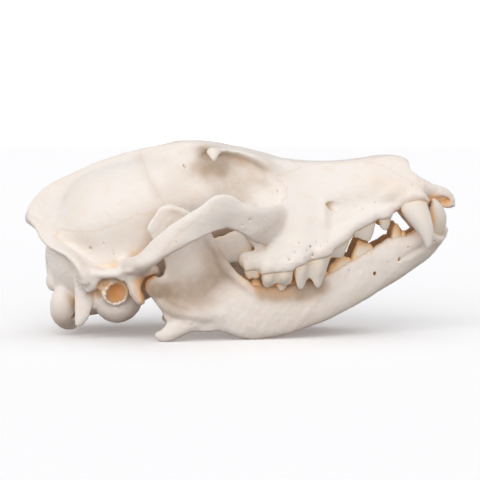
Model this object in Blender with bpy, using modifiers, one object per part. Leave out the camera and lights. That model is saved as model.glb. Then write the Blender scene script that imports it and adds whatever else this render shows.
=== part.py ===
"""A dog's skull with its jaw closed, life size, resting on its lower jaw.

Sizes are in millimetres and become metres where a mesh is made. X runs to the nose, Y to the
animal's left and Z up. The floor is Z = 0 and the plane of symmetry is Y = 0. The skull lies tipped
up at the nose, on the angular processes and the lower edges of both halves of the jaw.

Each bone is grown together from lofts, sweeps and ellipsoids. What it has on both sides is made on
the right and mirrored.
"""

import math

import bmesh
import bpy
from mathutils import Matrix, Vector

MM = 0.001
GAP = 0.3  # between neighbouring bones, so that they touch without overlapping

GRAIN = 1.0  # finest detail that the fused bones keep
CRANIUM_TRIANGLES = 6600
JAW_TRIANGLES = 1500  # each half
SHIFT_X = 0.7  # puts the origin midway along the skull

BONE_COLOUR = (0.80, 0.72, 0.62)
JAW_COLOUR = (0.82, 0.75, 0.66)
BONE_ROUGHNESS = 0.55
SHARP_ANGLE = 50  # degrees, past which an edge is shaded sharp
WIDE = 90  # how far to each side the cutters reach, past the widest bone

# Braincase and orbital walls, as rings across X.
# x, half width, height of the widest level, top, bottom, roundness of the roof, of the floor
BRAINCASE = (
    (-96.4, 3, 38, 43, 31, 2, 2),
    (-94.4, 11, 37, 50, 23, 2, 2),
    (-91, 18, 38, 64, 19, 2, 2.2),
    (-86, 23, 42, 73, 16, 2, 2.3),
    (-80, 26.5, 46, 78, 14, 2, 2.4),
    (-72, 29, 50, 82, 14, 2, 2.4),
    (-62, 30.5, 54, 85, 17, 2, 2.4),
    (-52, 30.5, 57, 87.5, 21, 2, 2.3),
    (-44, 29, 60, 89.5, 25, 2, 2.2),
    (-36, 25.5, 64, 91.5, 30, 2, 2),
    (-28, 21, 67, 93, 36, 2, 1.8),
    (-20, 18.5, 70, 94, 41, 2.2, 1.6),
    (-10, 17.5, 72, 93.5, 45, 2.5, 1.5),
    (0, 18, 72, 91.5, 47, 2.6, 1.5),
    (10, 20.5, 70, 89.5, 48, 2.6, 1.6),
    (22, 23, 66, 86, 49, 2.4, 2),
)

# Sagittal crest, which rises from the braincase like a tent.
# x, tip height, tip half width, base height, base half width
CREST = (
    (-107.4, 59, 0.8, 56.4, 1.2),
    (-106.4, 62, 1.2, 55.4, 2.8),
    (-104.5, 65, 1.4, 54.5, 5.5),
    (-101, 69.2, 1.5, 52.5, 9.5),
    (-97, 72.8, 1.5, 50, 13.5),
    (-90, 76.6, 1.5, 52, 18),
    (-82, 80.3, 1.5, 63, 17),
    (-75, 83.5, 1.5, 72, 13),
    (-67, 86.5, 1.6, 79, 9),
    (-58, 89.4, 2, 84, 7),
    (-48, 91.7, 3, 87.6, 7),
    (-38, 93.8, 5, 90, 9),
    (-30, 94.6, 8, 91, 12),
    (-22, 93, 8, 90, 11),
)

# Roof of the frontal bones, out to the rim of the orbit.
# x, height on the midline, half width of the rim, height of the rim, thickness of the rim
FRONTAL = (
    (-44, 91.8, 2.5, 91.2, 4),
    (-38, 94.4, 5, 93, 5),
    (-30, 96.3, 9.5, 94.8, 6),
    (-22, 97, 17, 94, 7),
    (-16, 96.3, 24.5, 92.6, 6),
    (-11, 95.5, 26, 92.2, 4.5),
    (-4, 94, 24.5, 92, 4),
    (4, 92, 23.5, 90.2, 5),
    (12, 90.6, 22.5, 87, 8),
    (20, 88.6, 20, 81.5, 9),
    (28, 87.1, 16, 79.6, 8),
    (36, 86, 11, 80, 6),
)

# Snout and upper jaw: half an outline across X, from the roof to the palate.
# x, roof, nasal corner (y, z), upper cheek (y, z), lower cheek (y, z), gum edge (y, z), inner gum y, palate
SNOUT = (
    (2, 90.6, (12, 87), (16, 72), (17, 62), (18, 52), 12, 49),
    (8, 89.8, (15, 86.6), (20, 70), (23.5, 58), (27, 44), 19, 45),
    (14, 89.3, (17, 86), (25.5, 69), (33, 52), (35, 35), 24, 43.5),
    (22, 87.6, (14, 85.5), (24.5, 70), (31.5, 54), (35, 36.5), 24, 45),
    (30, 86.6, (11.5, 84.8), (22.5, 70.5), (30, 56), (35, 38.5), 24, 47.5),
    (38, 86.2, (10, 84.6), (20.5, 71), (27, 57), (32.3, 41.5), 21, 50),
    (46, 86.3, (9.5, 84.7), (18.8, 72), (23, 59.5), (27.6, 46), 18, 53),
    (54, 86.9, (9.5, 85.2), (17.6, 74), (20, 63), (22.5, 51.5), 15, 56.5),
    (62, 87.9, (9.8, 86.2), (17, 76), (18.8, 66.5), (19.8, 57), 13.5, 60),
    (70, 89.3, (10, 87.5), (16.6, 78), (18.6, 69), (19.2, 60.5), 13, 63),
    (77, 88.8, (10, 87), (16.2, 79), (19.6, 71), (20.8, 63.5), 12.5, 65),
    (83, 86.9, (10.5, 85), (16, 78), (20.4, 71.5), (21.8, 66.5), 12.5, 66.5),
    (88, 79.4, (13, 79), (17, 75.5), (20, 71.5), (20.6, 67.5), 11.5, 67.5),
    (93, 76.4, (13, 76), (14.4, 73.5), (13.2, 70.5), (12, 66.5), 7.5, 67.5),
    (98, 73.8, (11.5, 73.3), (13, 72), (12.4, 69), (11.8, 65), 7, 67),
    (103, 72.2, (8, 71.7), (9.8, 69.6), (10.4, 67), (10, 63.6), 5, 65.8),
    (106.8, 67.6, (3.5, 67.4), (5.5, 66.4), (6.3, 65), (6, 63.5), 2, 64.6),
)

# The nose's opening and the cavity behind it: x, half width, top, floor
NASAL_CAVITY = (
    (44, 9, 78, 66),
    (52, 12, 83, 65),
    (64, 13, 85, 66.5),
    (76, 13, 87, 68.5),
    (82.5, 12.8, 86, 69.5),
    (86, 12.6, 92, 69.5),
    (92, 12.2, 96, 70),
    (98, 9.6, 96, 70),
    (102.5, 5.5, 96, 70.5),
    (106, 2.5, 96, 72),
)


# Body of the jaw, right half, as rings across X.
# x, lower edge, upper edge, y of the lower edge, y of the upper edge, half thickness low and high
JAW_BODY = (
    (-22, 5.2, 19, -32.4, -32.6, 2, 2.4),
    (-14, 4.7, 26, -31, -31.4, 3, 3.2),
    (-6, 2.7, 30, -29.6, -29.8, 4, 4),
    (0, 0.6, 29.6, -28.2, -28.4, 4.6, 4.6),
    (6, -0.5, 27.8, -26.8, -27, 4.9, 5),
    (12, -0.2, 26.6, -25.6, -26, 5, 5.2),
    (25, 2.4, 27.5, -23.4, -24, 5, 5),
    (37, 6.3, 30.2, -21, -21.6, 4.8, 4.6),
    (44, 8.9, 32.4, -19.2, -19.8, 4.8, 4.3),
    (52, 12.4, 36.6, -16.6, -17.6, 4.9, 4.2),
    (59.5, 16.4, 40.6, -13.8, -15.4, 5.2, 4.2),
    (67, 20.5, 45, -10.6, -13, 5.6, 4.4),
    (74, 24.3, 48.8, -8, -11, 5.8, 5),
    (82, 29.5, 49.8, -6.4, -9.4, 5.6, 6),
    (90, 35, 52.8, -5.4, -8.8, 5, 7),
    (97, 41.4, 54.2, -4.6, -7.8, 4, 6.6),
    (101.8, 46.8, 53.6, -3.2, -5.4, 2.8, 4.8),
    (103.4, 49.6, 53, -2.4, -3.8, 1.8, 3),
)

# Upright plate behind the teeth, seen from the side: up the front edge, over the tip, down the back
RAMUS = (
    (4, 8),
    (5, 25),
    (-2, 32.5),
    (-7, 36.6),
    (-10.3, 43),
    (-12.6, 48),
    (-15.6, 53.4),
    (-20, 59),
    (-25.2, 63.2),
    (-31, 66),
    (-34.6, 66.2),
    (-38.2, 64.6),
    (-41, 61),
    (-43.8, 56.6),
    (-44.4, 54.2),
    (-40.4, 47.6),
    (-36, 38.6),
    (-36.4, 33.6),
    (-39, 30.4),
    (-41, 29),
    (-41, 23),
    (-38.6, 17.8),
    (-36.4, 12),
    (-33, 7),
    (-23, 4.6),
    (-10, 4.6),
)

# Cusps of the upper teeth, right side.
# x, y, gum, tip, length, width, how far the tip leans along X and Y, turn of the tooth row
UPPER_CUSPS = (
    (8.2, -31, 35.5, 30.2, 4.6, 4.2, 0, 0.2, -14),
    (4.6, -30.2, 35.8, 30.9, 4.2, 4, 0, 0.2, -14),
    (6.4, -26.6, 37, 32.2, 5.4, 5.6, 0, 0, -14),
    (21.6, -33.4, 35, 24.9, 7.6, 6, -0.2, 0.6, 4),
    (14.6, -33.4, 34.6, 26.3, 7, 5.6, 0, 0.6, 4),
    (18, -28.2, 36, 31.9, 9.4, 6.6, 0, 0, 4),
    (37.8, -29.4, 42, 25, 11.6, 6.4, -0.6, 0.2, 18),
    (29.6, -32, 38, 25.3, 9.2, 5.6, -1, 0.4, 14),
    (33.6, -30.8, 38, 28.6, 8, 4.6, 0, 0.3, 16),
    (41.6, -26, 42, 36.6, 5, 4.6, 0, 0, 18),
    (49.6, -24.6, 48.5, 39.8, 10.6, 4.8, 0.4, -0.2, 26),
    (61.6, -20, 56.5, 47.5, 9, 4.4, 1, -0.6, 18),
    (71, -18.4, 60.5, 52.4, 5.4, 4.2, 0.4, -0.4, 6),
)

# Cusps of the lower teeth, right side
LOWER_CUSPS = (
    (6.6, -26, 25, 30.4, 4.4, 4, 0, 0, 6),
    (12.4, -25.4, 24, 30.4, 4.6, 5.4, 0, 0, 8),
    (17, -24.8, 24, 31, 5.2, 5.8, 0, 0, 8),
    (24, -23.6, 24.6, 31, 7, 6, 0, 0, 9),
    (31.6, -22.4, 26, 36.4, 9.4, 6, 0, 0, 10),
    (38.4, -20.8, 28, 37.2, 8.6, 5.4, 0.6, 0.2, 14),
    (48.6, -18.6, 33, 40.6, 10.4, 5, -0.2, 0, 16),
    (59, -15.6, 39, 47.8, 10, 4.4, -1, 0, 18),
    (76, -11.6, 46.4, 55.2, 5.4, 4.2, -0.4, 0, 14),
    (80.6, -10.8, 47, 51.9, 3, 3, 0, 0, 10),
)

# Dog teeth, as paths from the root: x, y, z, half thickness across, half thickness along
UPPER_CANINE = (
    (79, -16.6, 72, 3.6, 5.4),
    (84.2, -18.6, 66.4, 4.5, 6.6),
    (86.9, -20.4, 60, 4, 5.7),
    (89.8, -22, 54, 3.1, 4.1),
    (91.4, -23, 48.4, 2, 2.5),
    (91.5, -23.4, 45.6, 1.2, 1.5),
    (91.3, -23.5, 44, 0.3, 0.4),
)
LOWER_CANINE = (
    (90.4, -7.4, 46, 4, 5.4),
    (94.6, -9.2, 52.4, 4.2, 5.8),
    (96, -11.2, 57.4, 3.7, 4.9),
    (96, -13, 62, 2.8, 3.5),
    (95.3, -14.6, 66, 1.5, 1.9),
    (94.9, -15.3, 67.9, 0.3, 0.4),
)

# Where the bones are parted, as outlines seen from the side
ARCH_REGION = ((9, 46), (9, 90), (-38, 90), (-38, 30), (-20, 38))
ARCH_INNER_SIDE = -33
SNOUT_REGION = ((-2, 20), (-2, 46), (7, 52), (8, 110), (130, 110), (130, 20))


def smooth_rows(rows, steps):
    """Rows of numbers, and a Catmull-Rom curve through them with some steps to each span."""
    flat = [Vector(flatten(row)) for row in rows]
    ends = [flat[0] * 2 - flat[1]] + flat + [flat[-1] * 2 - flat[-2]]
    made = []
    for a, b, c, d in zip(ends, ends[1:], ends[2:], ends[3:]):
        for step in range(steps):
            t = step / steps
            made.append(
                0.5
                * (
                    2 * b
                    + (c - a) * t
                    + (2 * a - 5 * b + 4 * c - d) * t**2
                    + (3 * b - a - 3 * c + d) * t**3
                )
            )
    return made + [flat[-1]]


def flatten(row):
    made = []
    for value in row:
        made.extend(value if isinstance(value, tuple) else (value,))
    return made


def mesh_object(name, mesh):
    made = bpy.data.objects.new(name, mesh)
    bpy.context.scene.collection.objects.link(made)
    return made


def loft(name, rings):
    """A closed skin over rings of points, each with the same number of them."""
    work = bmesh.new()
    rows = [[work.verts.new(Vector(p) * MM) for p in ring] for ring in rings]
    for low, high in zip(rows, rows[1:]):
        for i in range(len(low)):
            j = (i + 1) % len(low)
            work.faces.new((low[i], low[j], high[j], high[i]))
    work.faces.new(rows[0])
    work.faces.new(rows[-1])
    bmesh.ops.recalc_face_normals(work, faces=work.faces)
    mesh = bpy.data.meshes.new(name)
    work.to_mesh(mesh)
    work.free()
    return mesh_object(name, mesh)


def both_halves(x, half):
    """A ring from half of one: its points run from the roof on the midline to the floor on it."""
    return [(x, -y, z) for y, z in half] + [(x, y, z) for y, z in reversed(half[1:-1])]


def rounded(turn, power):
    """The cosine or sine of a superellipse."""
    return math.copysign(abs(turn) ** (2 / power), turn)


def sweep(name, rows, sides=16, steps=3, power=2.0, up=(0, 0, 1)):
    """A skin round a path. Each row is x, y, z, half thickness, half height and roll in degrees."""
    keys = smooth_rows([tuple(row) + (0,) * (6 - len(row)) for row in rows], steps)
    centres = [Vector(key[:3]) for key in keys]
    rings = []
    for i, key in enumerate(keys):
        ahead = (centres[min(i + 1, len(keys) - 1)] - centres[max(i - 1, 0)]).normalized()
        aside = ahead.cross(Vector(up)).normalized()
        turn = Matrix.Rotation(math.radians(key[5]), 3, ahead)
        aside, rise = turn @ aside, turn @ aside.cross(ahead)
        ring = []
        for side in range(sides):
            angle = 2 * math.pi * side / sides
            ring.append(
                centres[i]
                + aside * max(key[3], 0.05) * rounded(math.cos(angle), power)
                + rise * max(key[4], 0.05) * rounded(math.sin(angle), power)
            )
        rings.append(ring)
    return loft(name, rings)


def ellipsoid(name, centre, radii, turn=(0, 0, 0)):
    work = bmesh.new()
    bmesh.ops.create_uvsphere(work, u_segments=28, v_segments=18, radius=1)
    place = (
        Matrix.Translation(Vector(centre) * MM)
        @ Matrix.Rotation(math.radians(turn[2]), 4, "Z")
        @ Matrix.Rotation(math.radians(turn[1]), 4, "Y")
        @ Matrix.Rotation(math.radians(turn[0]), 4, "X")
        @ Matrix.Diagonal((*(Vector(radii) * MM), 1))
    )
    bmesh.ops.transform(work, matrix=place, verts=work.verts)
    mesh = bpy.data.meshes.new(name)
    work.to_mesh(mesh)
    work.free()
    return mesh_object(name, mesh)


def mirrored(piece):
    """The same piece on the animal's left."""
    mesh = piece.data.copy()
    mesh.transform(Matrix.Diagonal((1, -1, 1, 1)))
    mesh.flip_normals()
    return mesh_object(piece.name + "_left", mesh)


def evaluated_mesh(piece):
    graph = bpy.context.evaluated_depsgraph_get()
    return bpy.data.meshes.new_from_object(piece.evaluated_get(graph))


def applied(piece):
    """The piece with its modifiers made part of its mesh."""
    bpy.context.view_layer.update()
    mesh = evaluated_mesh(piece)
    piece.modifiers.clear()
    piece.data = mesh
    return piece


def joined(name, pieces):
    """One object that holds the meshes of all pieces, which are removed."""
    work = bmesh.new()
    for piece in pieces:
        work.from_mesh(piece.data)
        bpy.data.objects.remove(piece)
    mesh = bpy.data.meshes.new(name)
    work.to_mesh(mesh)
    work.free()
    return mesh_object(name, mesh)


def fused(name, pieces, voxel, smoothing):
    """Pieces grown together into one rounded bone."""
    bone = joined(name, pieces)
    remesh = bone.modifiers.new("grain", "REMESH")
    remesh.mode = "VOXEL"
    remesh.voxel_size = voxel * MM
    remesh.adaptivity = 0
    soften = bone.modifiers.new("soften", "SMOOTH")
    soften.factor = 0.5
    soften.iterations = smoothing
    return applied(bone)


def cut_or_join(bone, tools, operation):
    """One Boolean on a collection of tools, applied, with the tools removed."""
    group = bpy.data.collections.new("tools")
    for tool in tools:
        group.objects.link(tool)
    boolean = bone.modifiers.new("boolean", "BOOLEAN")
    boolean.operation = operation
    boolean.operand_type = "COLLECTION"
    boolean.collection = group
    applied(bone)
    for tool in tools:
        bpy.data.objects.remove(tool)
    bpy.data.collections.remove(group)
    return bone


def braincase_pieces():
    rings = []
    for x, width, level, top, bottom, roof, floor in smooth_rows(BRAINCASE, 3):
        ring = []
        for step in range(48):
            angle = 2 * math.pi * step / 48
            power = roof if math.sin(angle) >= 0 else floor
            rise = top - level if math.sin(angle) >= 0 else level - bottom
            ring.append(
                (
                    x,
                    width * rounded(math.cos(angle), power),
                    level + rise * rounded(math.sin(angle), power),
                )
            )
        rings.append(ring)
    crest = []
    for x, tip, tip_width, base, base_width in smooth_rows(CREST, 3):
        waist = (tip_width * 1.4, tip - (tip - base) * 0.35)
        half = [(0, tip + 0.6), (tip_width, tip), waist, (base_width, base), (0, base - 1)]
        crest.append(both_halves(x, half))
    roof = []
    for x, top, width, rim, thickness in smooth_rows(FRONTAL, 3):
        half = [
            (0, top),
            (width * 0.45, top - (top - rim) * 0.22),
            (width * 0.8, rim + (top - rim) * 0.35),
            (width, rim),
            (width * 0.93, rim - thickness * 0.75),
            (width * 0.7, rim - thickness),
            (0, rim - thickness - 3),
        ]
        roof.append(both_halves(x, half))
    floor = sweep(
        "skull_base",
        [
            (-88, 0, 9.5, 7, 2.6),
            (-80, 0, 11.5, 10, 3.8),
            (-66, 0, 15, 10.5, 4.5),
            (-50, 0, 20, 9, 4.5),
            (-38, 0, 27, 8, 4.5),
        ],
    )
    return [loft("braincase", rings), loft("crest", crest), loft("frontal", roof), floor]


def snout_piece():
    rings = []
    for row in smooth_rows(SNOUT, 3):
        x, roof = row[0], row[1]
        nasal, upper, lower, gum = (tuple(row[i : i + 2]) for i in (2, 4, 6, 8))
        inner, palate = row[10], row[11]
        half = [
            (0, roof),
            (nasal[0] * 0.6, roof - (roof - nasal[1]) * 0.35),
            nasal,
            upper,
            lower,
            (gum[0], gum[1] + (lower[1] - gum[1]) * 0.35),
            gum,
            (gum[0] - 1.5, gum[1] - 1.2),
            (inner, gum[1] - 0.6),
            (inner * 0.86, gum[1] + (palate - gum[1]) * 0.6),
            (inner * 0.5, palate - 0.4),
            (0, palate),
        ]
        half = [(max(p[0], 0), p[1]) for p in smooth_rows(half, 2)]
        half[0], half[-1] = (0, half[0][1]), (0, half[-1][1])
        rings.append(both_halves(x, half))
    return loft("snout", rings)


def right_side_pieces():
    """What the skull has on each side, made on the right."""
    return [
        sweep(
            "postorbital_process",
            [
                (-13, -16, 90.6, 4.6, 3),
                (-13, -24, 90.6, 3.8, 2.4),
                (-13.2, -27.6, 89.4, 2.2, 1.8),
                (-13.4, -28.9, 87.6, 1.1, 1.1),
            ],
        ),
        sweep(
            "nuchal_crest",
            [
                (-106.4, 0.5, 58.2, 1.6, 1.2, 0),
                (-103, -5, 57, 3.6, 1.6, 10),
                (-98.4, -10.5, 54, 4.2, 2, 20),
                (-93.8, -16, 49.8, 5.8, 2.4, 25),
                (-88, -22.5, 45.2, 7, 2.6, 20),
                (-80.5, -28.4, 40.6, 6, 3, 10),
                (-76, -31.6, 34.6, 5, 3.4, 0),
                (-73.5, -31.5, 28, 4, 3.4, 0),
            ],
            up=(0.55, 0, 0.84),
        ),
        sweep(
            "temporal_crest",
            [
                (-78, -28, 37, 4, 3.4),
                (-70, -31, 33, 4.4, 3),
                (-62, -32, 32.4, 5, 2.6),
                (-55, -34, 33.4, 6, 2.6),
                (-49, -38, 35.5, 7, 2.8),
            ],
        ),
        sweep(
            "zygomatic_arch",
            [
                (24, -27, 58, 4, 9),
                (17, -34, 56, 4.2, 9.5, -10),
                (11, -39.4, 56, 3.6, 9.2, -14),
                (5, -43.2, 58.8, 3, 7.4, -16),
                (-1.4, -46.6, 61.3, 2.6, 7.2, -14),
                (-5.6, -48.6, 63.1, 2.5, 8.5, -12),
                (-10, -50.4, 63, 2.4, 8.9, -10),
                (-15.5, -52.2, 60.4, 2.3, 7.3, -8),
                (-22, -53.6, 56.9, 2.4, 6.5, -4),
                (-30, -54.4, 52.4, 2.5, 5.9),
                (-38, -53, 46.5, 2.8, 5.4, 6),
                (-44, -49.6, 41.1, 3.8, 5, 25),
                (-48, -44.5, 37.8, 4.8, 4.6, 45),
                (-52, -37, 35.4, 5.6, 3.8, 60),
                (-55, -28, 34.4, 5.6, 3.6, 60),
            ],
            sides=20,
        ),
        sweep(
            "glenoid_shelf",
            [
                (-46, -50, 35.6, 4, 2.4),
                (-47.5, -44, 34.6, 7.4, 2.6),
                (-48.5, -37, 33.8, 8, 2.8),
                (-49, -29, 33, 10, 4),
                (-49, -22, 33, 10, 5),
            ],
        ),
        sweep(
            "retroarticular_process",
            [
                (-52, -37, 32, 3, 8),
                (-50.5, -37.4, 26, 2.6, 7.4),
                (-48.2, -37.6, 21, 2.2, 6),
                (-46.6, -37.6, 18.6, 1.4, 3.4),
            ],
            up=(0, 1, 0),
        ),
        ellipsoid("bulla", (-60, -19.5, 19.6), (12.4, 10.6, 12.4), (0, 20, 10)),
        sweep(
            "ear_tube",
            [(-60, -22, 23.4, 7.4, 7.2), (-59.8, -29, 23.4, 6.8, 6.4), (-59.6, -33.2, 23.4, 6.5, 5.9)],
        ),
        sweep(
            "mastoid",
            [(-76, -28, 34, 5, 5), (-73, -29.5, 28, 4.6, 4.4), (-70.5, -30, 24.5, 3.6, 3.4)],
        ),
        sweep(
            "paracondylar_process",
            [
                (-76, -26, 30, 5, 3),
                (-75.8, -26.4, 22, 4.8, 2.4),
                (-76.2, -26.8, 14, 4.2, 2.1),
                (-77.8, -27, 9, 2.8, 1.7),
                (-79, -27, 6.6, 1.2, 1.1),
            ],
            up=(0, 1, 0),
        ),
        sweep(
            "occipital_condyle",
            [
                (-88.5, -15, 23.5, 3.4, 3.4),
                (-87.4, -15.4, 18.5, 6, 5.4),
                (-86.6, -14, 12, 6.9, 6.4),
                (-84.6, -10.4, 8, 6, 5),
                (-81, -6.5, 8.6, 3.6, 3.2),
            ],
            up=(0, 1, 0),
        ),
        ellipsoid("nuchal_tubercle", (-92, -8, 26), (4.6, 6, 7)),
        sweep(
            "pterygoid_plate",
            [
                (6, -15.5, 46, 2.4, 10),
                (-4, -13.6, 43.5, 1.5, 8),
                (-14, -11.8, 40.5, 1.2, 8),
                (-24, -10.6, 36, 1.1, 8),
                (-31, -10.4, 31.4, 1.1, 6),
                (-36, -10.4, 28.4, 1.1, 3),
            ],
        ),
        sweep(
            "molar_shelf",
            [
                (24, -28.5, 41, 7, 6),
                (13, -29.6, 38.4, 6.8, 5.6),
                (5, -27.6, 38.6, 5.4, 4.6),
                (1, -25, 39.4, 3.4, 3.2),
            ],
            power=2.4,
        ),
        ellipsoid("canine_root", (78, -16.4, 70.5), (12, 5, 5.4), (0, -20, 6)),
    ]


def cranium():
    right = right_side_pieces()
    case = fused("case", braincase_pieces() + [snout_piece()], GRAIN, 1)
    orbit = ellipsoid("orbit", (1, -38, 75), (26.8, 19.5, 19.4))
    cut_or_join(case, [orbit, mirrored(orbit)], "DIFFERENCE")
    bone = fused("cranium", [case] + right + [mirrored(p) for p in right], GRAIN, 3)
    cavity_rings = []
    for x, width, top, floor in smooth_rows(NASAL_CAVITY, 3):
        ring = []
        for step in range(24):
            angle = 2 * math.pi * step / 24
            ring.append(
                (
                    x,
                    width * rounded(math.cos(angle), 2.4),
                    (top + floor) / 2 + (top - floor) / 2 * rounded(math.sin(angle), 2.4),
                )
            )
        cavity_rings.append(ring)
    condyle_room = sweep("condyle_room", [(-42, -22, 27, 5.2, 5.6), (-42.4, -57, 26, 5.2, 5.6)])
    ear_hole = sweep("ear_hole", [(-60, -18, 22.6, 5, 4.6), (-59.4, -40, 23.6, 5, 4.6)])
    choana = sweep(
        "choana",
        [
            (26, 0, 52, 7, 3.2),
            (12, 0, 49.5, 8.5, 4.4),
            (0, 0, 46, 9, 6),
            (-12, 0, 41, 9, 7.4),
            (-24, 0, 34, 8.6, 7),
            (-36, 0, 26, 8, 5),
        ],
    )
    foramen_magnum = sweep(
        "foramen_magnum", [(-112, 0, 17.5, 9.4, 7.4), (-94, 0, 19.4, 9.4, 7.4), (-70, 0, 28, 9, 8)]
    )
    infraorbital = sweep(
        "infraorbital", [(60, -27, 69.5, 3, 2.4), (46, -23, 65, 1.6, 3), (30, -22, 60, 1.6, 2.6)]
    )
    right_cuts = [condyle_room, ear_hole, infraorbital]
    cuts = [loft("nasal_cavity", cavity_rings), choana, foramen_magnum]
    cut_or_join(bone, cuts + right_cuts + [mirrored(p) for p in right_cuts], "DIFFERENCE")
    return fused("cranium", [bone], GRAIN * 0.9, 1)


def ramus_side(x, z):
    """How far right the middle of the upright plate lies."""
    return -30.5 + 0.2 * (x + 8) - 0.05 * (z - 15)


def jaw_pieces():
    rings = []
    for x, low, high, low_y, high_y, low_half, high_half in smooth_rows(JAW_BODY, 3):
        ring = []
        for step in range(28):
            angle = 2 * math.pi * step / 28
            rise = 0.5 + 0.5 * rounded(math.sin(angle), 2.4)
            half = low_half + (high_half - low_half) * rise
            middle = low_y + (high_y - low_y) * rise
            ring.append((x, middle + half * rounded(math.cos(angle), 2.5), low + (high - low) * rise))
        rings.append(ring)
    corners = smooth_rows(RAMUS + (RAMUS[0],), 2)[:-1]
    ramus = [
        [(p[0], ramus_side(p[0], p[1]) + side * 1.7, p[1]) for p in corners] for side in (-1, 1)
    ]

    def ridge(name, rows, shift=0.0):
        placed = [(x, ramus_side(x, z) - shift, z, wide, high) for x, z, wide, high in rows]
        return sweep(name, placed, up=(0, 1, 0))

    return [
        loft("jaw_body", rings),
        loft("ramus", ramus),
        ridge(
            "coronoid_ridge",
            [
                (11, 17, 2, 2.6),
                (4, 25, 3.2, 3.2),
                (-3.5, 31.2, 3.4, 3.2),
                (-9, 38.5, 3, 3),
                (-13.4, 47, 2.6, 2.6),
                (-18.6, 55.6, 2.2, 2.2),
                (-26, 62.2, 1.8, 1.9),
                (-34, 64.8, 1.6, 1.8),
            ],
            0.8,
        ),
        ridge(
            "condyle_ridge",
            [
                (-40.4, 26, 4, 3.6),
                (-37, 20, 3.4, 3),
                (-30, 14.5, 3.2, 3),
                (-20, 12, 3.2, 2.6),
                (-10, 11, 2.6, 1.6),
            ],
            0.6,
        ),
        sweep(
            "jaw_condyle",
            [
                (-41.6, -26.6, 28, 1.6, 1.8),
                (-41.7, -29, 27.8, 3.6, 3.8),
                (-42, -36, 27.4, 4.2, 4.6),
                (-42.2, -44, 26.8, 4.2, 4.6),
                (-42.4, -50, 26.2, 3.2, 3.6),
                (-42.4, -52.4, 26, 1.4, 1.6),
            ],
        ),
        sweep(
            "condyle_neck",
            [(-41, -38.5, 26.4, 3.6, 4.2), (-36.6, -36.8, 27, 2.6, 4.4), (-31, -35.6, 27, 1.6, 4)],
        ),
        sweep(
            "angular_process",
            [
                (-15, -31.4, 10, 1.8, 3.6),
                (-23, -33.2, 9.2, 2.8, 4.6),
                (-30, -34.8, 6.6, 3, 4.6),
                (-35, -35.4, 3.6, 2.8, 4),
                (-38.4, -35.2, 3, 2.2, 3.2),
                (-41, -34.6, 4.2, 1, 1.3),
            ],
        ),
    ]


def cusp(row):
    """A pointed crown with its root sunk in the gum."""
    x, y, gum, tip, length, width, lean_x, lean_y, turn = row
    profile = ((-0.35, 0.7), (0.05, 0.96), (0.25, 1), (0.58, 0.78), (0.84, 0.42), (1, 0.12))
    across = math.radians(turn)
    rings = []
    for part, size in profile:
        lean = max(part, 0)
        ring = []
        for side in range(8):
            angle = 2 * math.pi * side / 8
            along, aside = math.cos(angle) * length / 2 * size, math.sin(angle) * width / 2 * size
            ring.append(
                (
                    x + lean_x * lean + along * math.cos(across) - aside * math.sin(across),
                    y + lean_y * lean + along * math.sin(across) + aside * math.cos(across),
                    gum + (tip - gum) * part,
                )
            )
        rings.append(ring)
    return loft("cusp", rings)


def teeth(cusps, canine):
    right = [cusp(row) for row in cusps]
    right.append(sweep("canine", canine, sides=12, steps=2, up=(0, 1, 0)))
    return right


def side_cutter(name, outline, low_y=-WIDE, high_y=WIDE):
    """A block whose outline is seen from the side."""
    return loft(name, [[(p[0], y, p[1]) for p in outline] for y in (low_y, high_y)])


def box(name, low, high):
    corners = [(low[0], low[2]), (high[0], low[2]), (high[0], high[2]), (low[0], high[2])]
    return side_cutter(name, corners, low[1], high[1])


def copied(piece, name):
    return mesh_object(name, piece.data.copy())


def thinned(bone, triangles):
    """The bone with fewer triangles."""
    bone.data.calc_loop_triangles()
    thin = bone.modifiers.new("thin", "DECIMATE")
    thin.ratio = triangles / len(bone.data.loop_triangles)
    thin.use_collapse_triangulate = True
    return applied(bone)


def evened(bone):
    """A bone that crosses the middle, with its left side made the mirror image of its right."""
    work = bmesh.new()
    work.from_mesh(bone.data)
    whole = work.verts[:] + work.edges[:] + work.faces[:]
    bmesh.ops.bisect_plane(
        work, geom=whole, dist=MM / 1000, plane_co=(0, 0, 0), plane_no=(0, 1, 0), clear_outer=True
    )
    for vert in work.verts:
        if vert.is_boundary:
            vert.co.y = 0
    right = work.verts[:] + work.edges[:] + work.faces[:]
    copies = bmesh.ops.duplicate(work, geom=right)["geom"]
    for part in copies:
        if isinstance(part, bmesh.types.BMVert):
            part.co.y *= -1
    left_faces = [part for part in copies if isinstance(part, bmesh.types.BMFace)]
    bmesh.ops.reverse_faces(work, faces=left_faces)
    rim = [vert for vert in work.verts if vert.is_boundary]
    bmesh.ops.remove_doubles(work, verts=rim, dist=MM / 1000)
    work.to_mesh(bone.data)
    work.free()
    return bone


def largest_surface(bone):
    """The bone with only its largest closed surface."""
    work = bmesh.new()
    work.from_mesh(bone.data)
    left = set(work.faces)
    best = []
    while left:
        shell = []
        stack = [left.pop()]
        while stack:
            face = stack.pop()
            shell.append(face)
            for edge in face.edges:
                for other in edge.link_faces:
                    if other in left:
                        left.remove(other)
                        stack.append(other)
        if len(shell) > len(best):
            best = shell
    kept = set(best)
    bmesh.ops.delete(work, geom=[f for f in work.faces if f not in kept], context="FACES")
    work.to_mesh(bone.data)
    work.free()
    return bone


def grown(outline, by):
    middle_x = sum(p[0] for p in outline) / len(outline)
    middle_z = sum(p[1] for p in outline) / len(outline)
    return [
        (p[0] + math.copysign(by, p[0] - middle_x), p[1] + math.copysign(by, p[1] - middle_z))
        for p in outline
    ]


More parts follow.
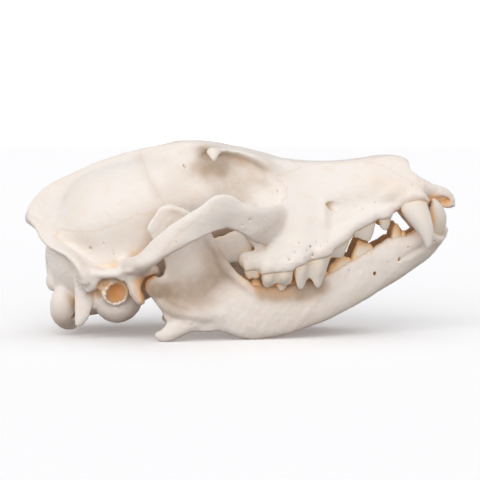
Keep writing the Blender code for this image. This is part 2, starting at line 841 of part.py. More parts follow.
def coloured(bone, colour):
    """The bone with a material of its own, shaded smooth except at sharp edges."""
    material = bpy.data.materials.new(bone.name)
    material.use_nodes = True
    shader = material.node_tree.nodes["Principled BSDF"]
    shader.inputs["Base Color"].default_value = (*colour, 1)
    shader.inputs["Roughness"].default_value = BONE_ROUGHNESS
    shader.inputs["Metallic"].default_value = 0
    bone.data.materials.clear()
    bone.data.materials.append(material)
    bone.data.shade_smooth()
    bone.data.set_sharp_from_angle(angle=math.radians(SHARP_ANGLE))


def make_cranium_bones():
    """The cranium, parted into the braincase, the snout and the two zygomatic arches."""
    braincase = evened(thinned(cranium(), CRANIUM_TRIANGLES))
    right_arch = copied(braincase, "zygomatic_arch_right")
    arch_room = side_cutter("arch_room", ARCH_REGION, -WIDE, ARCH_INNER_SIDE)
    cut_or_join(right_arch, [arch_room], "INTERSECT")
    largest_surface(right_arch)
    left_arch = mirrored(right_arch)
    left_arch.name = "zygomatic_arch_left"

    wider = grown(ARCH_REGION, GAP)
    right_room = side_cutter("arch_room", wider, -WIDE, ARCH_INNER_SIDE + GAP)
    cut_or_join(braincase, [right_room, mirrored(right_room)], "DIFFERENCE")
    snout = copied(braincase, "snout")
    cut_or_join(snout, [side_cutter("snout_room", SNOUT_REGION)], "INTERSECT")
    largest_surface(snout)
    wider = [(x - GAP, z + GAP / 2) for x, z in SNOUT_REGION]
    cut_or_join(braincase, [side_cutter("snout_room", wider)], "DIFFERENCE")
    largest_surface(braincase)
    braincase.name = "braincase"

    right_teeth = teeth(UPPER_CUSPS, UPPER_CANINE)
    cut_or_join(snout, right_teeth + [mirrored(tooth) for tooth in right_teeth], "UNION")
    largest_surface(snout)
    return [braincase, snout, right_arch, left_arch]


def make_jaw_bones():
    """Both halves of the lower jaw, flat where they meet and where they touch the floor."""
    right_jaw = thinned(fused("mandible_right", jaw_pieces(), GRAIN, 3), JAW_TRIANGLES)
    floor = box("floor", (-200, -200, -50), (200, 200, 0))
    other_half = box("other_half", (-200, -GAP / 2, -60), (200, 200, 200))
    cut_or_join(right_jaw, [floor, other_half], "DIFFERENCE")
    cut_or_join(right_jaw, teeth(LOWER_CUSPS, LOWER_CANINE), "UNION")
    largest_surface(right_jaw)
    left_jaw = mirrored(right_jaw)
    left_jaw.name = "mandible_left"
    return [right_jaw, left_jaw]


def main():
    for old in list(bpy.data.objects):
        bpy.data.objects.remove(old)
    skull = bpy.data.collections.new("dog_skull")
    bpy.context.scene.collection.children.link(skull)
    cranium_bones = make_cranium_bones()
    jaw_bones = make_jaw_bones()
    for bone in cranium_bones + jaw_bones:
        bone.data.transform(Matrix.Translation((SHIFT_X * MM, 0, 0)))
        coloured(bone, JAW_COLOUR if bone in jaw_bones else BONE_COLOUR)
        bpy.context.scene.collection.objects.unlink(bone)
        skull.objects.link(bone)


main()
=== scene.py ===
import math

import bmesh
import bpy
import numpy as np
from mathutils import Matrix, Vector
from mathutils.bvhtree import BVHTree
from mathutils.kdtree import KDTree


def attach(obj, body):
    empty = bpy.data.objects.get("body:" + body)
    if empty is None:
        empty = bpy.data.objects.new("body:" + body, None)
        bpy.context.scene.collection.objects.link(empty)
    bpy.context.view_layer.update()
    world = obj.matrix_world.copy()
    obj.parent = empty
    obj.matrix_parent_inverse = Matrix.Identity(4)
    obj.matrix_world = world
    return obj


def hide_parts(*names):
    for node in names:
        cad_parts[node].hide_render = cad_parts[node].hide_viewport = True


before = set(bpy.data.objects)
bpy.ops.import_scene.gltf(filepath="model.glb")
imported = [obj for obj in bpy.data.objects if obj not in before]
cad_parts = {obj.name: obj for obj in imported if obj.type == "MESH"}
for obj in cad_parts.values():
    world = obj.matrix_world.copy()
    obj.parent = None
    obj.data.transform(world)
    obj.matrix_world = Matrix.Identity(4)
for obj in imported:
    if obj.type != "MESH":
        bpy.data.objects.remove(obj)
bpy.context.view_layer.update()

# Numbers below are millimetres: X to the nose, Y to the animal's left, Z up from the floor
mm = 0.001
grain = {"blend": 0.95, "bone": 0.5, "tooth": 0.26, "blendPasses": 5, "finePasses": 2}
faces = {"cranium": 190000, "jaw": 96000, "tooth": 9000}
shiftX = 0.7   # the tables are measured from a point this far behind the origin
farOff = 99.0  # stands for any distance that isn't worked out


# Shaping tools

def flatten(row):
    made = []
    for part in row:
        made.extend(part if isinstance(part, tuple) else (part,))
    return made


def smoothRows(rows, steps):
    # A smooth curve through rows of numbers
    flat = [Vector(flatten(row)) for row in rows]
    ends = [flat[0] * 2 - flat[1]] + flat + [flat[-1] * 2 - flat[-2]]
    made = []
    for a, b, c, d in zip(ends, ends[1:], ends[2:], ends[3:]):
        for step in range(steps):
            t = step / steps
            made.append(0.5 * (2 * b + (c - a) * t + (2 * a - 5 * b + 4 * c - d) * t ** 2
                               + (3 * b - a - 3 * c + d) * t ** 3))
    return made + [flat[-1]]


def newObject(name, data):
    made = bpy.data.objects.new(name, data)
    bpy.context.scene.collection.objects.link(made)
    return made


def finished(name, work):
    # The piece that a bmesh makes
    mesh = bpy.data.meshes.new(name)
    work.to_mesh(mesh)
    work.free()
    return newObject(name, mesh)


def angles(steps):
    return [2 * math.pi * step / steps for step in range(steps)]


def loft(name, rings):
    work = bmesh.new()
    rows = [[work.verts.new(Vector(p) * mm) for p in ring] for ring in rings]
    for low, high in zip(rows, rows[1:]):
        for i in range(len(low)):
            j = (i + 1) % len(low)
            work.faces.new((low[i], low[j], high[j], high[i]))
    work.faces.new(rows[0])
    work.faces.new(rows[-1])
    bmesh.ops.recalc_face_normals(work, faces=work.faces)
    return finished(name, work)


def bothHalves(x, half):
    return [(x, -y, z) for y, z in half] + [(x, y, z) for y, z in reversed(half[1:-1])]


def rounded(turn, power):
    # A sine or cosine bent so that a circle's sides turn flatter as power grows past 2
    return math.copysign(abs(turn) ** (2 / power), turn)


def sweep(name, rows, sides=24, steps=5, power=2.0, up=(0, 0, 1)):
    # Each row is x, y, z, half thickness, half height and roll in degrees
    keys = smoothRows([tuple(row) + (0,) * (6 - len(row)) for row in rows], steps)
    centres = [Vector(key[:3]) for key in keys]
    rings = []
    for i, key in enumerate(keys):
        ahead = (centres[min(i + 1, len(keys) - 1)] - centres[max(i - 1, 0)]).normalized()
        aside = ahead.cross(Vector(up)).normalized()
        turn = Matrix.Rotation(math.radians(key[5]), 3, ahead)
        aside, rise = turn @ aside, turn @ aside.cross(ahead)
        wide, high = max(key[3], 0.05), max(key[4], 0.05)
        rings.append([centres[i] + aside * wide * rounded(math.cos(angle), power)
                      + rise * high * rounded(math.sin(angle), power) for angle in angles(sides)])
    return loft(name, rings)


def swept(parts):
    return [sweep(name, spec["rows"], up=spec.get("up", (0, 0, 1)), power=spec.get("power", 2.0))
            for name, spec in parts.items()]


def ellipsoid(name, centre, radii, turn=(0, 0, 0)):
    work = bmesh.new()
    bmesh.ops.create_uvsphere(work, u_segments=40, v_segments=24, radius=1)
    place = Matrix.Translation(Vector(centre) * mm)
    for degrees, axis in zip(reversed(turn), "ZYX"):
        place = place @ Matrix.Rotation(math.radians(degrees), 4, axis)
    bmesh.ops.transform(work, matrix=place @ Matrix.Diagonal((*(Vector(radii) * mm), 1)), verts=work.verts)
    return finished(name, work)


def lump(name, lumps):
    return ellipsoid(name, **lumps[name])


def box(name, low, high):
    corners = [(low[0], low[2]), (high[0], low[2]), (high[0], high[2]), (low[0], high[2])]
    return loft(name, [[(x, y, z) for x, z in corners] for y in (low[1], high[1])])


def mirrored(piece, name=""):
    mesh = piece.data.copy()
    mesh.transform(Matrix.Diagonal((1, -1, 1, 1)))
    mesh.flip_normals()
    return newObject(name or piece.name + "Left", mesh)


def withMirror(pieces):
    return pieces + [mirrored(piece) for piece in pieces]


def applied(piece):
    bpy.context.view_layer.update()
    graph = bpy.context.evaluated_depsgraph_get()
    mesh = bpy.data.meshes.new_from_object(piece.evaluated_get(graph))
    piece.modifiers.clear()
    piece.data = mesh
    return piece


def grown(name, pieces, size, passes):
    # Pieces grown together into one rounded body
    work = bmesh.new()
    for piece in pieces:
        work.from_mesh(piece.data)
        bpy.data.objects.remove(piece)
    body = finished(name, work)
    remesh = body.modifiers.new("grain", "REMESH")
    remesh.mode = "VOXEL"
    remesh.voxel_size = size * mm
    remesh.adaptivity = 0
    soften = body.modifiers.new("soften", "SMOOTH")
    soften.factor = 0.5
    soften.iterations = passes
    return applied(body)


def carved(body, tools):
    group = bpy.data.collections.new("tools")
    for tool in tools:
        group.objects.link(tool)
    cut = body.modifiers.new("cut", "BOOLEAN")
    cut.operation = "DIFFERENCE"
    cut.operand_type = "COLLECTION"
    cut.collection = group
    cut.solver = "MANIFOLD"
    applied(body)
    for tool in tools:
        bpy.data.objects.remove(tool)
    bpy.data.collections.remove(group)
    return body


def thinned(body, limit):
    body.data.calc_loop_triangles()
    total = len(body.data.loop_triangles)
    if total > limit:
        thin = body.modifiers.new("thin", "DECIMATE")
        thin.ratio = limit / total
        thin.use_collapse_triangulate = True
        applied(body)
    return body


# Measuring and carving in numpy

def readVectors(piece, field):
    flat = np.empty(len(piece.data.vertices) * 3, np.float32)
    piece.data.vertices.foreach_get(field, flat)
    return flat.reshape(-1, 3).astype(float)


def readPoints(piece):
    return readVectors(piece, "co") / mm


def writePoints(piece, points):
    piece.data.vertices.foreach_set("co", (points * mm).astype(np.float32).ravel())
    piece.data.update()


def writeValues(piece, name, values):
    made = piece.data.attributes.new(name, "FLOAT", "POINT")
    made.data.foreach_set("value", np.asarray(values, np.float32))


def onRight(points):
    folded = points.copy()
    folded[:, 1] = -np.abs(folded[:, 1])
    return folded


def ripple(points, wavelength, seed):
    # A soft, even noise from a few waves that cross each other
    draw = np.random.default_rng(seed)
    total = np.zeros(len(points))
    for _ in range(9):
        way = draw.normal(size=3)
        way *= 2 * math.pi / wavelength / np.linalg.norm(way) * draw.uniform(0.7, 1.4)
        bend = 1.3 * np.sin(points @ draw.normal(size=3) * 2.2 / wavelength + draw.uniform(0, 6.3))
        total += np.sin(points @ way + bend + draw.uniform(0, 6.3))
    return total / 3


def pathDistance(points, path, reach, facing=None):
    # Distance to a path, worked out only where it is under reach. With facing, it is negative on the path's left.
    path = np.array(path, float)
    near = np.where(((points > path.min(0) - reach) & (points < path.max(0) + reach)).all(1))[0]
    close = points[near]
    best, side = np.full(len(close), farOff), np.ones(len(close))
    for a, b in zip(path, path[1:]):
        along = b - a
        share = np.clip((close - a) @ along / max(along @ along, 1e-9), 0, 1)
        apart = close - a - share[:, None] * along
        length = np.linalg.norm(apart, axis=1)
        closer = length < best
        best[closer] = length[closer]
        if facing is not None:
            side[closer] = np.sign((np.cross(along, facing[near][closer]) * apart[closer]).sum(1) + 1e-12)
    found = np.full(len(points), farOff)
    found[near] = best * side
    return found


def bell(distance, radius):
    return np.exp(-(distance / radius) ** 2)


def marked(points, marks):
    # The sum of soft marks, each a path, a radius and a strength, that fade out within 2.6 radii
    total = np.zeros(len(points))
    for path, radius, strength in marks:
        total += strength * bell(pathDistance(points, path, radius * 2.6), radius)
    return total


def searchTree(piece):
    corners = [v.co[:] for v in piece.data.vertices]
    return BVHTree.FromPolygons(corners, [p.vertices[:] for p in piece.data.polygons])


def laid(path, surface, spacing=1.5):
    # A path drawn near the bone, laid onto its surface
    made = []
    for a, b in zip(path, path[1:]):
        a, b = Vector(a), Vector(b)
        steps = max(int((b - a).length / spacing), 1)
        made += [a.lerp(b, step / steps) for step in range(steps)]
    made.append(Vector(path[-1]))
    return [tuple(surface.find_nearest(point * mm)[0] / mm) for point in made]


# Teeth of the right side. at: middle of the gum edge, turn: of the row seen from above, rise: of the gum
# edge towards the nose. crown: place along the tooth, height, half width outside, half width inside.
# cusps: place along and across, height, half length, half width
upperTeeth = {
    "P1": {"at": (70.8, -18.4, 58), "turn": 6, "rise": 14,
           "crown": ((-3, 0.8, 1.4, 1.3), (-2.3, 3.2, 2, 1.8), (-0.9, 5, 2.3, 2.1), (0.4, 5.8, 2.4, 2.1),
                     (1.3, 5.6, 2.3, 2), (2.3, 3.8, 2, 1.7), (3, 0.8, 1.3, 1.1))},
    "P2": {"at": (60.2, -20.3, 54), "turn": 18, "rise": 26,
           "crown": ((-6, 0.8, 1.2, 1.1), (-4.9, 2.6, 1.8, 1.7), (-3.1, 3.5, 2.1, 2), (-0.9, 5.6, 2.4, 2.2),
                     (1, 7, 2.6, 2.3), (2.6, 8.1, 2.7, 2.3), (3.8, 7.9, 2.6, 2.2), (4.9, 5.8, 2.3, 2),
                     (5.6, 3.4, 1.8, 1.7), (6, 0.8, 1.1, 1))},
    "P3": {"at": (48, -25, 45.8), "turn": 26, "rise": 30,
           "crown": ((-5.9, 0.8, 1.4, 1.3), (-5.1, 3.2, 2, 1.9), (-4.2, 4, 2.3, 2.2), (-2.8, 4.6, 2.5, 2.3),
                     (-1.2, 5.7, 2.7, 2.4), (0.6, 6.7, 2.8, 2.4), (1.9, 7.1, 2.7, 2.3), (3, 6.2, 2.5, 2.2),
                     (4.3, 4, 2.2, 2), (5.2, 2.4, 1.8, 1.7), (5.9, 0.8, 1.2, 1.1))},
    "P4": {"at": (34.9, -30.2, 38.3), "turn": 17, "rise": 17,
           "crown": ((-9.4, 1, 1.8, 1.6), (-8.7, 6, 2.6, 2.2), (-7.2, 10.6, 3, 2.6), (-5.6, 11.8, 3.1, 2.6),
                     (-4.2, 10.9, 2.9, 2.5), (-2.9, 8.6, 2.2, 2.3), (-1.6, 7.8, 1.8, 2.2), (-0.2, 9.2, 2.4, 2.5),
                     (1.6, 12.8, 3.4, 2.9), (3.1, 14, 3.7, 3), (4.6, 12.9, 3.6, 3), (6.4, 8.6, 3.1, 2.8),
                     (8.3, 3.8, 2.5, 2.4), (9.4, 1, 1.7, 1.6)),
           "cusps": ((6.4, 3.6, 5.2, 2.4, 2.2), (3.3, -0.5, 10.4, 3.4, 3.3), (-5.7, -0.3, 8.8, 2.7, 2.9))},
    "M1": {"at": (18, -32.6, 32.9), "turn": 3, "rise": 6,
           "crown": ((-7.7, 0.8, 1.8, 2), (-7, 4.6, 2.7, 2.4), (-5.6, 6.4, 3.3, 2.6), (-3.6, 6.4, 3.4, 2.6),
                     (-1.8, 5.4, 2.8, 2.6), (-0.4, 5, 2.5, 2.6), (1.2, 5.4, 2.9, 2.6), (3.4, 6.3, 3.4, 2.6),
                     (5.4, 6.3, 3.4, 2.5), (7, 5, 2.7, 2.2), (7.7, 0.8, 1.8, 1.8)),
           "cusps": ((0, 5, 1.4, 5.8, 4.8), (1.8, 5.8, 3.6, 2.6, 2), (-2.2, 5.6, 2.8, 2.2, 1.8),
                     (2.4, 3.4, 9.6, 4.4, 3.2), (3.6, -0.6, 5.4, 3.6, 3), (-4.4, -0.6, 5.6, 3.4, 3))},
    "M2": {"at": (6.4, -30.4, 33.6), "turn": -14, "rise": 8,
           "crown": ((-4.1, 0.6, 1.4, 1.6), (-3.3, 2.8, 2, 2), (-1.7, 3.8, 2.3, 2), (-0.3, 3.4, 2.2, 2),
                     (1.6, 4, 2.3, 2), (3.1, 3.2, 2, 1.9), (4.1, 0.6, 1.4, 1.5)),
           "cusps": ((0, 3.4, 1, 3.2, 3.2), (0.2, 4.6, 1.9, 1.8, 1.3), (1.6, -0.4, 1.8, 1.7, 1.8),
                     (-1.8, -0.4, 1.6, 1.7, 1.7))},
}
lowerTeeth = {
    "P1": {"at": (80.5, -10.3, 49.5), "turn": 10, "rise": 4,
           "crown": ((-1.5, 0.4, 1, 1), (-0.8, 2, 1.4, 1.4), (0.1, 2.6, 1.5, 1.5), (0.9, 1.9, 1.3, 1.3),
                     (1.5, 0.4, 0.9, 0.9))},
    "P2": {"at": (77, -11.3, 49), "turn": 14, "rise": 8,
           "crown": ((-2.7, 0.8, 1.3, 1.3), (-2.1, 4, 1.8, 1.7), (-1.1, 6, 2, 1.9), (-0.1, 6.6, 2.1, 1.9),
                     (0.9, 6, 2, 1.8), (1.9, 4, 1.7, 1.6), (2.6, 0.8, 1.1, 1))},
    "P3": {"at": (59.7, -15.4, 40.8), "turn": 18, "rise": 28,
           "crown": ((-5.6, 0.8, 1.2, 1.2), (-4.7, 3.2, 1.8, 1.7), (-3.4, 5.4, 2, 1.9), (-2.2, 7.4, 2.1, 2),
                     (-1.5, 7.8, 2.1, 2), (-0.4, 6.8, 2.1, 2), (1.6, 4.8, 2, 1.9), (3.6, 3.4, 1.8, 1.7),
                     (5, 2, 1.5, 1.4), (5.8, 0.6, 1, 1))},
    "P4": {"at": (48.6, -18.5, 34.9), "turn": 16, "rise": 28,
           "crown": ((-6, 0.8, 1.3, 1.3), (-5.1, 3, 1.9, 1.8), (-4, 3.6, 2.1, 2), (-2.8, 3.8, 2.2, 2),
                     (-1.2, 5.8, 2.2, 2.1), (-0.1, 6.8, 2.2, 2.1), (1, 5.8, 2.2, 2), (3, 3.2, 2, 1.9),
                     (4.8, 2, 1.6, 1.6), (6, 0.6, 1.1, 1.1))},
    "M1": {"at": (33, -22.2, 28.9), "turn": 10, "rise": 13,
           "crown": ((-10.2, 0.8, 1.8, 1.8), (-9.2, 3, 2.4, 2.4), (-7.2, 3.9, 2.8, 2.8), (-5.2, 3.5, 2.9, 2.9),
                     (-3.7, 4.4, 2.8, 2.7), (-2.3, 7.4, 2.7, 2.5), (-0.9, 8.9, 2.6, 2.4), (0.5, 7.8, 2.5, 2.3),
                     (1.7, 6.6, 2.5, 2.3), (3.3, 8, 2.5, 2.3), (4.7, 8.6, 2.4, 2.2), (6.5, 6.6, 2.3, 2.1),
                     (8.6, 3.2, 2, 1.9), (10.2, 0.8, 1.4, 1.4)),
           "cusps": ((-2.6, 2, 5, 1.5, 1.2),)},
    "M2": {"at": (17.2, -24.9, 26.4), "turn": 8, "rise": 2,
           "crown": ((-5.1, 0.6, 1.9, 1.9), (-4.1, 2.6, 2.5, 2.5), (-2.2, 3.5, 2.8, 2.8), (-0.4, 2.8, 2.8, 2.8),
                     (1.6, 4.2, 2.8, 2.8), (2.8, 4.2, 2.7, 2.7), (4.2, 2.6, 2.4, 2.4), (5.1, 0.6, 1.7, 1.7)),
           "cusps": ((1.8, 1.5, 4, 1.4, 1.2), (-2.2, 1.5, 3, 1.4, 1.2))},
    "M3": {"at": (7.8, -26, 26.9), "turn": 6, "rise": -2,
           "crown": ((-2.6, 0.5, 1.4, 1.4), (-1.8, 2, 2, 2), (-0.2, 2.9, 2.3, 2.3), (1.4, 2.2, 2.1, 2.1),
                     (2.6, 0.5, 1.4, 1.4))},
}
canines = {
    "upper": {"rows": ((79, -14.8, 72.6, 1.4, 3), (81, -14.8, 71, 2.6, 5), (82.4, -15.2, 69.2, 3.4, 5),
                        (84.7, -18.3, 64.4, 4.5, 6.7), (87, -20.3, 59.8, 4.2, 5.9), (89, -21.4, 56, 3.6, 4.9),
                        (90.4, -22.2, 52.4, 3, 3.9),
                        (91.3, -22.8, 48.6, 2.2, 2.7), (91.5, -23.2, 46.2, 1.5, 1.8), (91.4, -23.4, 44.7, 0.8, 0.95),
                        (91.3, -23.5, 43.9, 0.15, 0.2)),
               "gum": (85, -20, 68), "rise": -10},
    "lower": {"rows": ((84, -6.2, 41, 3, 4), (90.4, -7, 46, 4, 5.4), (94.8, -9.2, 52.4, 4.3, 6.2),
                        (96.4, -11.2, 57.4, 3.9, 5.5), (96.5, -12.6, 61, 3.2, 4.5), (96.1, -13.8, 64, 2.3, 3.1),
                        (95.4, -14.6, 66.3, 1.3, 1.6), (95, -15.2, 67.6, 0.6, 0.7), (94.9, -15.3, 68.1, 0.12, 0.15)),
               "gum": (97, -9.6, 50.4), "rise": 8},
}
crownShape = {"rootDepth": 4, "neck": 1.2, "sharpness": 1.55, "steps": 18,
              "profile": ((-1, 0.7), (-0.4, 0.86), (0, 1), (0.3, 0.96), (0.58, 0.8), (0.8, 0.55), (0.93, 0.32),
                          (0.99, 0.12), (1, 0.04))}


def toothFrame(spec, way):
    # The gum edge's middle, and the directions along the tooth, inwards across it and out along its crown
    turn, rise = math.radians(spec["turn"]), math.tan(math.radians(spec["rise"]))
    along = Vector((math.cos(turn), math.sin(turn), rise * math.cos(turn)))
    across = Vector((-math.sin(turn), math.cos(turn), 0))
    return Vector(spec["at"]), along, across, Vector((0, 0, way))


def blade(name, spec, way):
    middle, along, across, out = toothFrame(spec, way)
    rings = []
    for place, height, outer, inner in smoothRows(spec["crown"], 4):
        section = [(-outer * 0.6, -crownShape["rootDepth"]), (-outer * 0.86, -crownShape["neck"])]
        for step in range(crownShape["steps"] + 1):
            side = 2 * step / crownShape["steps"] - 1
            wide = outer if side < 0 else inner
            section.append((side * wide, max(height, 0.2) * (1 - abs(side) ** crownShape["sharpness"])))
        section += [(inner * 0.86, -crownShape["neck"]), (inner * 0.6, -crownShape["rootDepth"])]
        rings.append([middle + along * place + across * v + out * w for v, w in section])
    return loft(name, rings)


def cone(name, spec, way, cusp):
    middle, along, across, out = toothFrame(spec, way)
    place, side, height, halfLength, halfWidth = cusp
    deep = min(height, crownShape["rootDepth"])
    rings = [[middle + along * (place + math.cos(angle) * halfLength * size)
              + across * (side + math.sin(angle) * halfWidth * size)
              + out * (height if rise > 0 else deep) * rise for angle in angles(20)]
             for rise, size in crownShape["profile"]]
    return loft(name, rings)


def collar(spec, way):
    # The bone round a tooth's root
    middle, along, across, out = toothFrame(spec, way)
    rings = []
    for place, height, outer, inner in smoothRows(spec["crown"], 2):
        section = ((-outer * 0.4, 9), (-outer - 1.4, 5), (-outer - 1.3, 1.6), (-outer - 0.4, -0.2),
                   (inner + 0.4, -0.2), (inner + 1.3, 1.6), (inner + 1.4, 5), (inner * 0.4, 9))
        rings.append([middle + along * place * 1.07 + across * v - out * w for v, w in section])
    return loft("collar", rings)


def crownHeights(tooth, gum, rise, way):
    # How far each point stands out from the gum edge, for the enamel's colour
    points = readPoints(tooth)
    edge = gum[2] + (points[:, 0] - gum[0]) * math.tan(math.radians(rise))
    writeValues(tooth, "crown", (points[:, 2] - edge) * way)


def makeTooth(name, spec, way):
    pieces = [blade(name, spec, way)] + [cone(name, spec, way, cusp) for cusp in spec.get("cusps", ())]
    tooth = thinned(grown(name, pieces, grain["tooth"], grain["finePasses"]), faces["tooth"])
    crownHeights(tooth, spec["at"], spec["rise"], way)
    return tooth


def makeCanine(name, spec, way):
    core = sweep(name, spec["rows"], sides=32, steps=6, up=(1, 0, 0))
    tooth = thinned(grown(name, [core], grain["tooth"], grain["finePasses"]), faces["tooth"])
    crownHeights(tooth, spec["gum"], spec["rise"], way)
    return tooth


# The cranium's sections. Braincase: x, half width, widest level, top, bottom, roof and floor roundness
braincase = {
    "rings": (
        (-96.4, 3, 38, 43, 31, 2, 2), (-94.4, 11, 37, 50, 23, 2, 2), (-91, 18, 38, 64, 19, 2, 2.2),
        (-86, 23, 42, 73, 16, 2, 2.3), (-80, 26.5, 46, 78, 14, 2, 2.4), (-72, 29, 50, 82, 14, 2, 2.4),
        (-62, 30.5, 54, 85, 17, 2, 2.4), (-52, 30.5, 57, 87.5, 21, 2, 2.3),
        (-44, 29, 60, 89.5, 25, 2, 2.2), (-36, 25.5, 64, 91.5, 30, 2, 2),
        (-28, 21, 67, 93, 36, 2, 1.8), (-20, 18.5, 70, 94, 41, 2.2, 1.6),
        (-10, 17.5, 72, 93.5, 45, 2.5, 1.5), (0, 18, 72, 91.5, 47, 2.6, 1.5),
        (10, 20.5, 70, 89.5, 48, 2.6, 1.6), (22, 23, 66, 86, 49, 2.4, 2)),
    # x, tip height, tip half width, base height, base half width
    "crest": (
        (-107.6, 59, 0.8, 56.4, 1.2), (-106.5, 62, 1.2, 55.4, 2.8), (-104.6, 65, 1.5, 54.5, 5.5),
        (-101.2, 69.2, 1.6, 52.5, 9.5), (-97, 72.8, 1.6, 50, 15.5), (-90, 76.6, 1.5, 52, 21),
        (-82, 80.3, 1.4, 62, 22.5), (-75, 83.5, 1.4, 69, 21), (-67, 86.5, 1.5, 75, 18), (-58, 89.4, 2, 80, 15),
        (-48, 91.7, 3, 85, 13), (-38, 93.8, 5, 90, 9), (-30, 94.6, 8, 91, 12), (-22, 93, 8, 90, 11)),
    # x, height on the midline, half width of the rim, height of the rim, thickness of the rim
    "forehead": (
        (-44, 91.8, 2.5, 91.2, 4), (-38, 94.4, 4.4, 93.2, 6), (-30, 96.3, 7.6, 95, 9), (-22, 97, 14, 94.6, 8),
        (-17, 96.7, 20.5, 93.4, 6), (-11, 95.5, 25.4, 92.4, 3), (-4, 94, 24.5, 92, 2.6), (4, 92.2, 23.5, 90.2, 3.4),
        (12, 90.6, 22.5, 87, 6), (20, 88.6, 20, 81.5, 9), (28, 87.1, 16, 79.6, 8), (36, 86, 11, 80, 6)),
    "base": (
        (-88, 0, 9.5, 7, 2.6), (-80, 0, 11.5, 10, 3.8), (-66, 0, 15, 10.5, 4.5),
        (-50, 0, 20, 9, 4.5), (-38, 0, 27, 8, 4.5)),
}

# Snout: x, roof, then (y, z) of nasal corner, upper cheek, lower cheek and gum edge, inner gum y, palate
snout = {
    "rings": (
        (2, 90.6, (12, 87), (16, 72), (17, 62), (18, 52), 12, 49),
        (8, 89.8, (15, 86.6), (20, 70), (23.5, 58), (27, 44), 19, 45),
        (14, 89.3, (17, 86), (25.5, 69), (33, 52), (35, 35), 24, 43.5),
        (22, 87.6, (14, 85.5), (24.5, 70), (31.5, 54), (35, 36.5), 24, 45),
        (30, 86.6, (11.5, 84.8), (22.5, 70.5), (30, 56), (35, 38.5), 24, 47.5),
        (38, 86.2, (10, 84.6), (20.5, 71), (27, 57), (32.3, 41.5), 21, 50),
        (46, 86.3, (9.5, 84.7), (18.8, 72), (23, 59.5), (27.6, 46), 18, 53),
        (54, 86.9, (9.5, 85.2), (17.6, 74), (20, 63), (22.5, 51.5), 15, 56.5),
        (62, 87.9, (9.8, 86.2), (17, 76), (18.8, 66.5), (19.8, 57), 13.5, 60),
        (70, 89.3, (10, 87.5), (16.6, 78), (18.6, 69), (19.2, 60.5), 13, 63),
        (77, 88.8, (10, 87), (16.2, 79), (19.6, 71), (20.8, 63.5), 12.5, 65),
        (83, 86.9, (10.5, 85), (16, 78), (20.4, 71.5), (21.8, 66.5), 12.5, 66.5),
        (88, 79.4, (13, 79), (17, 75.5), (20, 71.5), (20.6, 67.5), 11.5, 67.5),
        (93, 76.4, (13, 76), (14.4, 73.5), (13.2, 70.5), (12, 66.5), 7.5, 67.5),
        (98, 73.8, (11.5, 73.3), (13, 72), (12.4, 69), (11.8, 65), 7, 67),
        (103, 72.2, (8, 71.7), (9.8, 69.6), (10.4, 67), (10, 63.6), 5, 65.8),
        (106.8, 67.6, (3.5, 67.4), (5.5, 66.4), (6.3, 65), (6, 63.5), 2, 64.6)),
    # The hollow of the nose: x, half width, top, floor
    "hollow": (
        (30, 6, 72, 62), (44, 9, 79, 65), (52, 12, 83, 65), (64, 13, 85.4, 66.5), (76, 13.2, 87.4, 68.5),
        (82.5, 12.8, 86, 69.5), (86, 12.6, 92, 69.5), (92, 12.2, 96, 70), (98, 9.6, 96, 70),
        (102.5, 5.5, 96, 70.5), (106, 2.5, 96, 72)),
}


def craniumCore():
    case, crest, forehead = [], [], []
    for x, width, level, top, bottom, roof, floor in smoothRows(braincase["rings"], 5):
        ring = []
        for angle in angles(64):
            power, rise = (roof, top - level) if math.sin(angle) >= 0 else (floor, level - bottom)
            ring.append((x, width * rounded(math.cos(angle), power), level + rise * rounded(math.sin(angle), power)))
        case.append(ring)
    for x, tip, tipWidth, base, baseWidth in smoothRows(braincase["crest"], 5):
        waist = (tipWidth + (baseWidth - tipWidth) * 0.24, tip - (tip - base) * 0.3)
        crest.append(bothHalves(x, [(0, tip + 0.6), (tipWidth, tip), waist, (baseWidth, base), (0, base - 1)]))
    for x, top, width, rim, thick in smoothRows(braincase["forehead"], 5):
        half = [(0, top), (width * 0.45, top - (top - rim) * 0.22), (width * 0.8, rim + (top - rim) * 0.35),
                (width, rim), (width * 0.93, rim - thick * 0.75), (width * 0.7, rim - thick),
                (0, rim - thick - 3)]
        forehead.append(bothHalves(x, half))
    return [loft("case", case), loft("crest", crest), loft("forehead", forehead), sweep("base", braincase["base"])]


def snoutCore():
    rings = []
    for row in smoothRows(snout["rings"], 5):
        x, roof = row[0], row[1]
        nasal, upper, lower, gum = (tuple(row[i:i + 2]) for i in (2, 4, 6, 8))
        inner, palate = row[10], row[11]
        half = [(0, roof), (nasal[0] * 0.6, roof - (roof - nasal[1]) * 0.35), nasal, upper, lower,
                (gum[0], gum[1] + (lower[1] - gum[1]) * 0.35), gum, (gum[0] - 1.5, gum[1] - 1.2),
                (inner, gum[1] - 0.6), (inner * 0.86, gum[1] + (palate - gum[1]) * 0.6),
                (inner * 0.5, palate - 0.4), (0, palate)]
        half = [(max(p[0], 0), p[1]) for p in smoothRows(half, 3)]
        half[0], half[-1] = (0, half[0][1]), (0, half[-1][1])
        rings.append(bothHalves(x, half))
    return loft("snout", rings)


